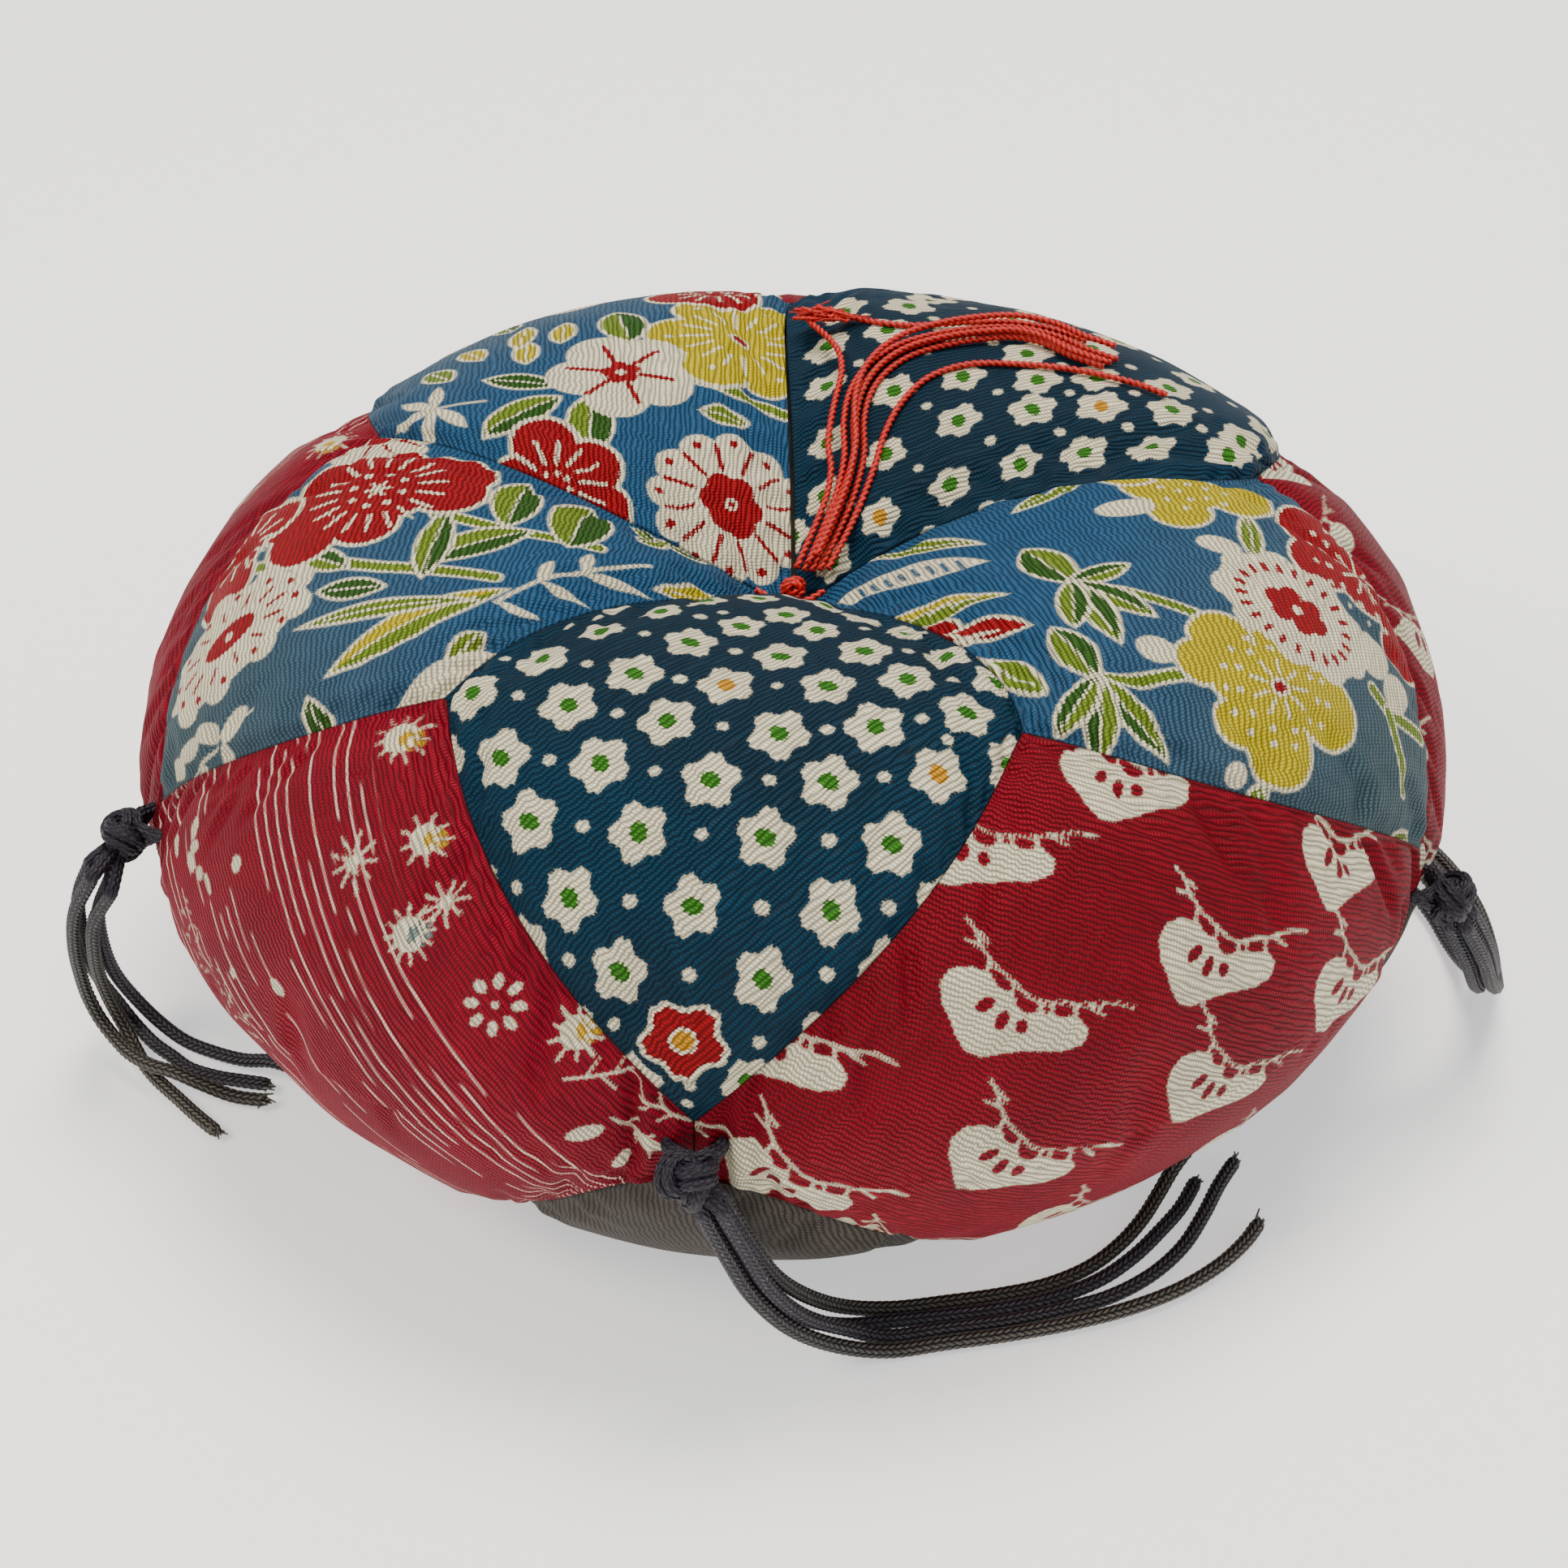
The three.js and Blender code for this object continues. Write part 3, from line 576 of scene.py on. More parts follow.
def streaked(shader, cloth, base):
    """Broken white lines that lie close together and bend down the cloth."""
    bent = shader.times(shader.noise(cloth, 0.03, detail=1), STREAK_BEND)
    lean = shader.split(shader.scaled(cloth, (1, 1, 1), -STREAK_LEAN))
    across = shader.over(shader.plus(lean[1], bent), STREAK_PITCH)
    place = shader.node("ShaderNodeCombineXYZ")
    shader.put(shader.times(lean[0], DASH_LENGTHS), place.inputs[0])
    shader.put(shader.times(shader.math("FLOOR", across), DASH_ROWS), place.inputs[1])
    dashes = shader.noise(place.outputs[0], 1.0, detail=1)
    off_middle = shader.math("ABSOLUTE", shader.minus(shader.math("FRACT", across), 0.5))
    ink = shader.times(shader.ramp(off_middle, 0.15, 0.06), shader.ramp(dashes, 0.43, 0.47))
    sheaf = shader.times(shader.ramp(lean[1], *SHEAF_EDGE), shader.ramp(lean[1], *SHEAF_END))
    stray = shader.times(shader.ramp(lean[1], *STRAY_END), shader.ramp(dashes, 0.52, 0.56))
    ink = shader.times(ink, shader.math("MAXIMUM", sheaf, stray))
    return shader.mix(ink, base, STREAK_WHITE)


def braided_silk(name, near, far, glint):
    """A braid's stitches, with painted shade, near black, between them and painted glints on some
    fibres. "strand" holds the height and the way along.
    """
    shader = Shader(name)
    strand = shader.split(shader.attribute("strand"))
    place = shader.node("ShaderNodeTexCoord").outputs["Object"]
    fibre = shader.noise(place, 3200, detail=1)
    base = shader.mix(shader.ramp(strand[1], 0.0, 0.75), near, far)
    # Painted glints on some of the fibres.
    base = shader.mix(shader.ramp(fibre, 0.5, 0.75, 0.0, 0.6), base, glint)
    # Painted shade, near black, in the grooves between the stitches.
    base = shader.mix(shader.ramp(strand[0], 0.3, 0.85), BRAID_GAP_SHADE, base)
    shader.bump(shader.plus(strand[0], shader.times(fibre, 0.3)), 0.08)
    return shader.finish(base, 0.55, specular=0.35)


def twisted_silk(name, lit, deep):
    """Two plies of silk thread, lit red on top, with painted shade, deep red, between them and painted
    glints on some fibres.
    """
    shader = Shader(name)
    strand = shader.split(shader.attribute("strand"))
    place = shader.node("ShaderNodeTexCoord").outputs["Object"]
    fibre = shader.noise(place, 4000, detail=1)
    # deep is the painted shade between the plies, and lit is the red where they catch the light.
    base = shader.mix(shader.ramp(strand[0], 0.1, 0.8), deep, lit)
    # Painted glints on some of the fibres.
    base = shader.mix(shader.ramp(fibre, 0.5, 0.75, 0.0, 0.35), base, THREAD_GLINT)
    shader.bump(fibre, 0.04)
    return shader.finish(base, 0.5, specular=0.35)


def packed_fibre(name):
    """Matted fibre, dark brown so that where it shows through a seam's gap it is painted shade."""
    shader = Shader(name)
    place = shader.node("ShaderNodeTexCoord").outputs["Object"]
    tufts = shader.noise(place, 300, detail=4)
    # Dark browns that stand in for the shade seen through a seam's gap.
    base = shader.mix(shader.ramp(tufts, 0.3, 0.7), "#3b352c", "#5c5447")
    shader.bump(tufts, 0.8)
    return shader.finish(base, 0.9)


# ==== Tassels ====
# Each cord's colour near the knot and at its end.
TASSEL_LOOKS = {
    "front": [("#37343a", "#6a6558"), ("#2f2b38", "#5a565c"), ("#2a2536", "#504c56"),
              ("#3a373c", "#6d6756")],
    "right": [("#343138", "#5e5952"), ("#2d2836", "#524e54"), ("#36333a", "#565256"),
              ("#2f2a3a", "#4e4a54")],
    "left": [("#36343a", "#625d50"), ("#322e40", "#5a565c"), ("#2b2636", "#504c52"),
             ("#383639", "#6a6554")],
}
# A painted highlight on the fibres of the tassel cords.
CORD_GLINT = "#76727a"
# Near the knot, at the end, and the painted highlight on the fibres that catch the light.
PURPLE = ("#140a22", "#1e1428", "#3c3048")
FRAYED = ("#5c5860", "#6a665e", "#98938a")
CORD_STEP = 0.13
THREAD_STEP = 0.1
KNOT_SIZE = 0.46
KNOT_STRAND = 0.56
KNOT_SPREAD = 0.42
KNOT_GAP = 0.15                  # how far from full circle the knot's line ends, in radians
FRAY_HAIRS = 20
FRAY_SPRAY = 0.55
FRAY_LENGTH = (0.2, 0.5)
FRAY_CURL = 0.16
FRAY_RADII = (0.13, 0.07)
FRAY_FLOOR = 0.15
UP = np.array([0.0, 0.0, 1.0])


def tip_direction(azimuth):
    return np.array([math.cos(math.radians(azimuth)), math.sin(math.radians(azimuth)), 0.0])


def trefoil(size, turns):
    """The middle line of a tight overhand knot, facing along +Z."""
    return size * np.stack([np.sin(turns) + 2 * np.sin(2 * turns),
                            np.cos(turns) - 2 * np.cos(2 * turns),
                            -1.5 * np.sin(3 * turns)], -1)


def beside(line, across, over):
    sides, tops = frames_along(line)
    return line + sides * across + tops * over


def knot_parts(centre, outward, routes):
    """Strands side by side round one overhand knot, and down into the four cords."""
    turned = trefoil(KNOT_SIZE, np.linspace(KNOT_GAP, 2 * np.pi - KNOT_GAP, 90))
    middle = (centre + turned[:, :1] * np.cross(UP, outward) + turned[:, 1:2] * UP
              + turned[:, 2:] * outward)
    parts = []
    for across, over in ((-1, -1), (1, -1), (-1, 1), (1, 1)):
        strand = beside(middle, across * KNOT_SPREAD, over * KNOT_SPREAD)
        line, along = smooth_route(strand[::3], CORD_STEP)
        parts.append(cord_part(line, along, KNOT_STRAND))
    for route in routes:
        start, after = np.array(route[0]), np.array(route[1])
        inside = centre + (start - centre) * 0.25
        line, along = smooth_route([inside, start, start + (after - start) * 0.12], CORD_STEP)
        parts.append(cord_part(line, along, CORD_DIAMETER / 2 * 0.98))
    return parts


def loop_parts(tip, to_knot):
    """The cord through the seam at a tip: out on one side, round, and back on the other."""
    outward = tip_direction(tip.azimuth)
    side = np.array([-outward[1], outward[0], 0.0])
    drop, reach = (1.9, 0.6) if to_knot else (0, 1.8)
    root = outward * (RIM_RADIUS - 0.6) + UP * (tip.loop_height - drop)
    parts = []
    for nudge in (-0.5, 0.6):
        route = [(-LOOP_RADIUS, 0, 0), (-LOOP_RADIUS * 0.9, reach + 0.3, 0),
                 (-1.1, reach + 1.4, nudge - 0.3), (0, reach + 1.8, nudge - 0.6),
                 (1.1, reach + 1.4, nudge - 0.3), (LOOP_RADIUS * 0.9, reach + 0.3, 0),
                 (LOOP_RADIUS, 0, 0)]
        points = [root + side * across + outward * out + UP * up for across, out, up in route]
        line, along = smooth_route(points, CORD_STEP)
        parts.append(cord_part(line, along, KNOT_STRAND))
    return parts


def fray_parts(line, chance):
    """Loose fibres at a cut end."""
    direction = line[-1] - line[-6]
    direction /= np.linalg.norm(direction)
    parts = []
    for _ in range(FRAY_HAIRS):
        spray = direction + chance.normal(0, FRAY_SPRAY, 3)
        start = line[-1] - direction * 0.4 + chance.normal(0, 0.22, 3)
        length = chance.uniform(*FRAY_LENGTH)
        curl = chance.normal(0, FRAY_CURL, 3)
        points = [start, start + spray * length * 0.5 + curl * 0.3, start + spray * length + curl]
        for point in points:
            point[2] = max(point[2], FRAY_FLOOR)
        hair, _ = smooth_route(points, 0.2)
        hair_points, faces = tube(hair, np.linspace(*FRAY_RADII, len(hair))[:, None] * np.ones((1, 5)))
        parts.append((hair_points, faces, np.full((len(hair_points), 3), (0.8, 1.0, 0.0))))
    return parts


def make_tassel(tip):
    """The knot, the four cords, their frayed ends and the loop at one tip."""
    name = tip.name
    place = f"tassel_{name}", "braided_cord"
    chance = np.random.default_rng(7 + len(name))
    outward = tip_direction(tip.azimuth)
    purple = braided_silk(f"knot_silk_{name}", *PURPLE)
    centre = outward * KNOT_REACH + UP * (tip.loop_height - KNOT_DROP)
    knot = strand_piece(f"wound_knot_{name}", knot_parts(centre, outward, TASSEL_CORDS[name]),
                        purple, *place, f"tassel_knot_{name}")
    frays, cords = [], []
    for number, (route, looks) in enumerate(zip(TASSEL_CORDS[name], TASSEL_LOOKS[name]), 1):
        line, along = smooth_route(route, CORD_STEP)
        material = braided_silk(f"braid_{name}_{number}", *looks, CORD_GLINT)
        cord = strand_piece(f"braided_cord_{name}_{number}",
                            [cord_part(line, along, CORD_DIAMETER / 2)], material, *place,
                            f"tassel_cord_{name}_{number}")
        cords.append((cord, line, along[-1]))
        frays += fray_parts(line, chance)
    fray_silk = braided_silk(f"fray_silk_{name}", *FRAYED)
    fray = strand_piece(f"frayed_ends_{name}", frays, fray_silk, *place)
    loop = make_loop(tip, purple, True)


def make_loop(tip, material, to_knot):
    return strand_piece(f"seam_loop_{tip.name}", loop_parts(tip, to_knot), material, "cushion",
                        "braided_cord", f"cord_loop_{tip.name}")


# ==== The cushion's surface ====
def top_height(share):
    shoulder = np.maximum(1 - share ** CROWN_SHARPNESS, 0) ** (1 / CROWN_FULLNESS)
    dimple = np.maximum(1 - share / DIMPLE_REACH, 0) ** 2
    return RIM_HEIGHT + (CROWN_HEIGHT - RIM_HEIGHT) * shoulder - DIMPLE_DEPTH * dimple


def under_height(share):
    recess = np.maximum(1 - share / RECESS_REACH, 0) ** 2
    return RIM_HEIGHT * share ** UNDERSIDE_SHARPNESS + RECESS_DEPTH * recess


def seam_surface(polar, azimuth):
    share = np.sin(np.radians(polar))
    height = np.where(polar <= 90, top_height(share), under_height(share))
    turn = np.radians(azimuth)
    return np.stack([RIM_RADIUS * share * np.cos(turn), RIM_RADIUS * share * np.sin(turn),
                     height], -1)


def surface_normal(polar, azimuth):
    step = 0.5
    across = seam_surface(polar, azimuth + step) - seam_surface(polar, azimuth - step)
    down = (seam_surface(np.minimum(polar + step, 180 - step), azimuth)
            - seam_surface(np.maximum(polar - step, step), azimuth))
    normal = np.cross(down, across)
    return normal / np.maximum(np.linalg.norm(normal, axis=-1), 1e-9)[..., None]


# Along the profile from the middle of the top: polar angle and distance.
PROFILE_STEPS = 1800
PROFILE_POLAR = np.linspace(0, 180, PROFILE_STEPS + 1)
PROFILE_ALONG = way_along(seam_surface(PROFILE_POLAR, 0 * PROFILE_POLAR))
RIM_ALONG = PROFILE_ALONG[PROFILE_STEPS // 2]
CONE = 0.86                      # share of its azimuth that a top kite keeps when laid flat


# ==== Tuft ====
def laid_on_top(plan, above):
    """Points on the top of the cushion under a route in plan, lifted by a thread's own lift."""
    x, y = np.asarray(plan, dtype=float).T
    height = top_height(np.hypot(x, y) / RIM_RADIUS) + THREAD_LIFT + above
    return np.stack([x, y, height], -1)


def beside_route(plan, at_start, at_end):
    """The route shifted to its right, by one distance at its start and another at its end."""
    plan = np.asarray(plan, dtype=float)
    across = np.linspace(at_start, at_end, len(plan))[:, None]
    run = np.vstack([plan[1:2] - plan[:1], plan[2:] - plan[:-2], plan[-1:] - plan[-2:-1]])
    run /= np.linalg.norm(run, axis=1)[:, None]
    return plan + across * np.stack([run[:, 1], -run[:, 0]], -1)


def make_tuft(silk):
    routes = [laid_on_top(beside_route(TUFT_BUNDLE, at_knot, at_end), above)
              for at_knot, at_end, above in BUNDLE_THREADS]
    routes += [laid_on_top(plan, 0) for plan in TUFT_STRAYS]
    for number, route in enumerate(routes, 1):
        line, along = smooth_route(route, THREAD_STEP)
        thread = strand_piece(f"silk_thread_{number}",
                              [thread_part(line, along, THREAD_DIAMETER / 2)], silk, "tuft",
                              "red_thread", f"tuft_thread_{number}")
    tangle = make_tangle(silk)


TANGLE_PLACE = (2.6, 28.4)
TANGLE_REACH = (1.25, 0.6, 0.35)
TANGLE_FLOOR = 2.0               # above the bare profile
TANGLE_HAIRS = 34
THICK_HAIRS = 8


def make_tangle(silk):
    """The snarl of frayed thread that the left stray runs through."""
    chance = np.random.default_rng(11)
    middle = laid_on_top([TANGLE_PLACE], 0.3)[0]
    parts = []
    for index in range(TANGLE_HAIRS):
        points = [middle + chance.normal(0, 1, 3) * TANGLE_REACH for _ in range(4)]
        for point in points:
            floor = laid_on_top([point[:2]], TANGLE_FLOOR - THREAD_LIFT)[0][2]
            point[2] = max(point[2], floor)
        line, along = smooth_route(points, 0.25)
        parts.append(thread_part(line, along, 0.2 if index < THICK_HAIRS else 0.07, sides=7))
    return strand_piece("frayed_snarl", parts, silk, "tuft", "red_thread")


def wound_ball(centre, radius, turns, thickness, chance):
    """Thread wound round a small knot."""
    parts = []
    for _ in range(turns):
        pole = chance.normal(0, 1, 3)
        pole /= np.linalg.norm(pole)
        side = np.cross(pole, (0.3, 0.5, 0.8))
        side /= np.linalg.norm(side)
        other = np.cross(pole, side)
        angle = np.linspace(0, 1.8 * np.pi, 26)[:, None]
        reach = (radius - thickness) * chance.uniform(0.82, 1.0)
        ring = np.asarray(centre) + reach * (np.cos(angle) * side + np.sin(angle) * other)
        line, along = smooth_route(ring, THREAD_STEP)
        parts.append(thread_part(line, along, thickness))
    return parts


TIE_PLY_RADIUS = 0.2
TIE_TWIST = 0.35                 # radians for each millimetre


def tie_parts():
    """Three plies twisted together, through the middle of the cushion."""
    low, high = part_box("centre_tie")
    height = np.linspace(low[2] / MM, high[2] / MM, 30)
    parts = []
    for turn in (0, 120, 240):
        angle = math.radians(turn) + height * TIE_TWIST
        ply = np.stack([TIE_PLY_RADIUS * np.cos(angle), TIE_PLY_RADIUS * np.sin(angle), height], -1)
        line, along = smooth_route(ply, THREAD_STEP * 2)
        parts.append(thread_part(line, along, TIE_PLY_RADIUS))
    return parts


def make_ties(silk):
    chance = np.random.default_rng(5)
    place = silk, "cushion", "red_thread"
    top = wound_ball(TOP_KNOT, 1.2, 7, 0.3, chance) + stitch_parts()
    strand_piece("wound_top_knot", top, *place, "top_knot")
    under = wound_ball(UNDER_KNOT, 1.6, 9, 0.34, chance)
    strand_piece("wound_under_knot", under, *place, "under_knot")
    strand_piece("twisted_centre_tie", tie_parts(), *place, "centre_tie")


def stitch_parts():
    """The short stitch that holds the tuft down on the front lip of the dimple."""
    plan = [(-3.2, -1.4), (-1.4, -1.8), (0.8, -1.7), (2.6, -1.0)]
    line, along = smooth_route(laid_on_top(plan, -1.3), THREAD_STEP)
    return [thread_part(line, along, THREAD_DIAMETER / 2)]


# ==== Printing on flat cloth ====
# Shapes are signed distances in millimetres, negative inside.
def disc(x, y, centre, radius):
    return np.hypot(x - centre[0], y - centre[1]) - radius


def oval(x, y, centre, half, turn=0.0):
    c, s = math.cos(math.radians(turn)), math.sin(math.radians(turn))
    dx, dy = x - centre[0], y - centre[1]
    a, b = (dx * c + dy * s) / half[0], (dy * c - dx * s) / half[1]
    reach = np.hypot(a, b)
    slope = np.hypot(a / half[0], b / half[1])
    return reach * (reach - 1) / np.maximum(slope, 1e-6)


def discs(x, y, circles):
    return np.minimum.reduce([disc(x, y, (cx, cy), r) for cx, cy, r in circles])


def stroke(x, y, points, width):
    best = np.full_like(x, 1e3)
    for (ax, ay), (bx, by) in zip(points, points[1:]):
        run = (bx - ax, by - ay)
        share = ((x - ax) * run[0] + (y - ay) * run[1]) / (run[0] ** 2 + run[1] ** 2)
        share = np.clip(share, 0, 1)
        best = np.minimum(best, np.hypot(x - ax - share * run[0], y - ay - share * run[1]))
    return best - width / 2


def outline_shape(x, y, corners, rounding=0.0):
    """A closed outline with straight sides, its corners rounded outward."""
    best = stroke(x, y, corners + corners[:1], 0)
    inside = np.zeros(x.shape, dtype=bool)
    for (ax, ay), (bx, by) in zip(corners, corners[1:] + corners[:1]):
        if ay != by:
            crossing = ((ay > y) != (by > y)) & (x < ax + (y - ay) * (bx - ax) / (by - ay))
            inside ^= crossing
    return np.where(inside, -best, best) - rounding


def leaf_shape(x, y, base, end, width):
    """A pointed oval from one point to another."""
    run = np.subtract(end, base)
    length = np.hypot(*run)
    along, across = run / length
    middle = (np.add(base, end)) / 2
    dx, dy = x - middle[0], y - middle[1]
    bulge = (length ** 2 / 4 + width ** 2 / 4) / width
    return np.hypot(dx * along + dy * across,
                    np.abs(dy * along - dx * across) + bulge - width / 2) - bulge


def blossom_shape(x, y, centre, radius, turn, petals=5):
    """Broad petals, each with a notch in its tip."""
    x, y = (x - centre[0]) / 0.92, (y - centre[1]) / 1.1
    angle = np.arctan2(y, x) - math.radians(turn)
    wave = np.sin(petals * angle / 2)
    edge = 0.86 + 0.14 * np.cos(petals * angle) - 0.1 * np.exp(-(wave / 0.22) ** 2)
    return (np.hypot(x, y) - radius * edge) * 0.9


def ring_places(centre, count, radius, turn=0.0):
    rx, ry = radius if isinstance(radius, tuple) else (radius, radius)
    for k in range(count):
        angle = math.radians(turn + 360 * k / count)
        yield (centre[0] + rx * math.cos(angle), centre[1] + ry * math.sin(angle)), angle


class Print:
    """The print on one piece of cloth: for each ink, how far its edge is at each point."""

    def __init__(self, x, y):
        self.x, self.y = x, y
        self.inks = {name: np.full_like(x, 1.0) for name in LAYERS}

    def paint(self, ink, shape, outline=0.0):
        if outline:
            self.paint("cream", shape - outline)
        order = LAYERS.index(ink)
        for name in LAYERS[order + 1:]:
            self.inks[name] = np.maximum(self.inks[name], -shape)
        self.inks[ink] = np.minimum(self.inks[ink], shape)

    def erase(self, shape):
        for name in LAYERS:
            self.inks[name] = np.maximum(self.inks[name], -shape)

    def dot(self, ink, centre, radius, outline=0.0):
        self.paint(ink, disc(self.x, self.y, centre, radius), outline)

    def oval(self, ink, centre, half, turn=0.0, outline=0.0):
        self.paint(ink, oval(self.x, self.y, centre, half, turn), outline)

    def line(self, ink, points, width, outline=0.0):
        self.paint(ink, stroke(self.x, self.y, points, width), outline)

    def bloom(self, ink, circles, outline=0.0):
        self.paint(ink, discs(self.x, self.y, circles), outline)

    def leaf(self, ink, base, end, width, outline=0.35, lit=None, vein=True):
        """A leaf with a cream edge. lit is the ink of its far side, and a vein runs up it."""
        shape = leaf_shape(self.x, self.y, base, end, width)
        self.paint(ink, shape, outline)
        run = np.subtract(end, base)
        if lit:
            side = (self.y - base[1]) * run[0] - (self.x - base[0]) * run[1]
            self.paint(lit, np.maximum(shape, -side / np.hypot(*run)))
        if vein:
            start, stop = np.add(base, run * 0.12), np.add(base, run * 0.86)
            self.line("cream", [tuple(start), tuple(stop)], 0.16)

    def rays(self, ink, centre, count, inner, outer, width, turn=0.0):
        for (place, _), (far, _) in zip(ring_places(centre, count, inner, turn),
                                        ring_places(centre, count, outer, turn)):
            self.line(ink, [place, far], width)

    def spots(self, ink, centre, count, radius, size, turn=0.0):
        for place, _ in ring_places(centre, count, radius, turn):
            self.dot(ink, place, size)

    def scallops(self, ink, centre, count, ring, lobe, turn=0.0, outline=0.0):
        circles = [(px, py, lobe) for (px, py), _ in ring_places(centre, count, ring, turn)]
        solid = min(ring) if isinstance(ring, tuple) else ring
        self.bloom(ink, circles + [(centre[0], centre[1], solid)], outline)

    def values(self):
        clipped = [np.clip(self.inks[name], -1, 1) for name in LAYERS]
        return np.stack(clipped[:3], -1), np.stack(clipped[3:], -1)


# ---- Navy crepe with rows of blossoms ----
FRONT_BLOSSOMS = [
    (-3.8, 63.2), (4.3, 63.5), (-8.9, 59.2), (9.1, 60.4), (-12.6, 53.8), (-4.2, 55.4),
    (5.4, 55.7), (12.5, 54.4), (-15.5, 48.8), (-8.1, 50.3), (0.75, 50.9), (8.9, 50.8),
    (16.8, 49.4), (-11.4, 45.2), (-3.4, 45.8), (4.7, 46), (12.1, 45.5), (-6.9, 41.1),
    (0.55, 41.8), (7.9, 40.8), (14.7, 40.7), (-19, 37), (-15.3, 33.6), (-9.4, 35.9),
    (-3.3, 37.3), (4.1, 36.7), (10.9, 35.7), (18, 34.8), (-17.5, 28.8), (-11.1, 30.4),
    (-5.9, 31.8), (7.1, 31.9), (13.9, 30.6), (-13.9, 25.2), (-7.9, 26.6), (-2.3, 27.9),
    (4.1, 27), (10.7, 25.9), (-4.3, 23), (1.1, 23.1), (7.3, 21.4), (-7.2, 18.5), (-1.7, 20),
    (4.6, 17.4), (-4.1, 14.4), (1, 15), (-1.6, 10.5), (3, 10), (0.4, 5.8), (-17.6, 22),
    (16.8, 23.6), (-19.4, 42.6), (19.6, 40.2), (-10.8, 20.8), (12, 18.6), (20.6, 29.4),
]
FRONT_OCHRE = [(-13.8, 39.4), (0.8, 32.4)]
FRONT_RED = (0.8, 60.2)
FRONT_DOTS = [(-4.4, 59.8), (6, 59.6), (0.5, 65.1)]
BACK_BLOSSOMS = [
    (-4, 9.9), (-7.4, 14.6), (-1.8, 15.6), (4.9, 15.9), (1.1, 21.5), (-5.6, 21.5), (8.4, 20.8),
    (-11.7, 19.9), (-14.8, 24), (-2.1, 26), (5.2, 25.9), (11.8, 24.9), (2.9, 29.3), (15.4, 29.1),
    (-11.2, 27.8), (-17.2, 29.6), (-0.4, 32.1), (12.9, 34.1), (19.1, 34.6), (6, 33), (-6.8, 31.4),
    (-4.4, 5.6), (0.6, 5.2), (7.2, 10.8), (-13.2, 33.2), (10.2, 15.2),
]
BACK_OCHRE = [(1.9, 10.3), (9, 29.9)]
ROW_RISE = 5.5
ROW_PITCH = 8.0


def printed_blossom(p, centre, radius, turn, heart="green"):
    p.paint("cream", blossom_shape(p.x, p.y, centre, radius, turn))
    p.oval(heart, centre, (0.62, 0.78), turn)


def back_rows():
    """The blossoms' rows carried on to the far tip, where they can't be told apart one by one."""
    places = []
    for row in range(6):
        height = 37.5 + ROW_RISE * row
        half = 22 - 3.4 * row
        shift = (row % 2) * ROW_PITCH / 2
        places += [(x, height) for x in np.arange(-half + shift - half % 1, half, ROW_PITCH)]
    return places


def blossom_print(p, blossoms, ochre, seed):
    chance = np.random.default_rng(seed)
    centres = blossoms + ochre
    for centre in centres:
        heart = "yellow" if centre in ochre else "green"
        radius = chance.uniform(2.2, 2.42) * (0.8 + 0.2 * smoothstep((centre[1] - 12) / 24))
        printed_blossom(p, centre, radius, chance.uniform(0, 72), heart)
    for a, b in itertools.permutations(centres, 2):
        middle = ((a[0] + b[0]) / 2, (a[1] + b[1]) / 2)
        if 5.8 < b[0] - a[0] < 10 and abs(b[1] - a[1]) < 2.6 and all(
                math.dist(middle, centre) > 2.8 for centre in centres):
            p.dot("cream", middle, chance.uniform(0.42, 0.55))


def front_print(p):
    blossom_print(p, FRONT_BLOSSOMS, FRONT_OCHRE, 3)
    p.erase(oval(p.x, p.y, FRONT_RED, (4, 3.1)))
    squat = FRONT_RED[1] + 1.32 * (p.y - FRONT_RED[1])
    p.paint("red", blossom_shape(p.x, squat, FRONT_RED, 3.35, 90), 0.45)
    p.oval("yellow", FRONT_RED, (0.8, 0.75), 0, 0.2)
    for place in FRONT_DOTS:
        p.dot("cream", place, 0.5)


def back_right_print(p):
    blossom_print(p, BACK_BLOSSOMS + back_rows(), BACK_OCHRE, 4)


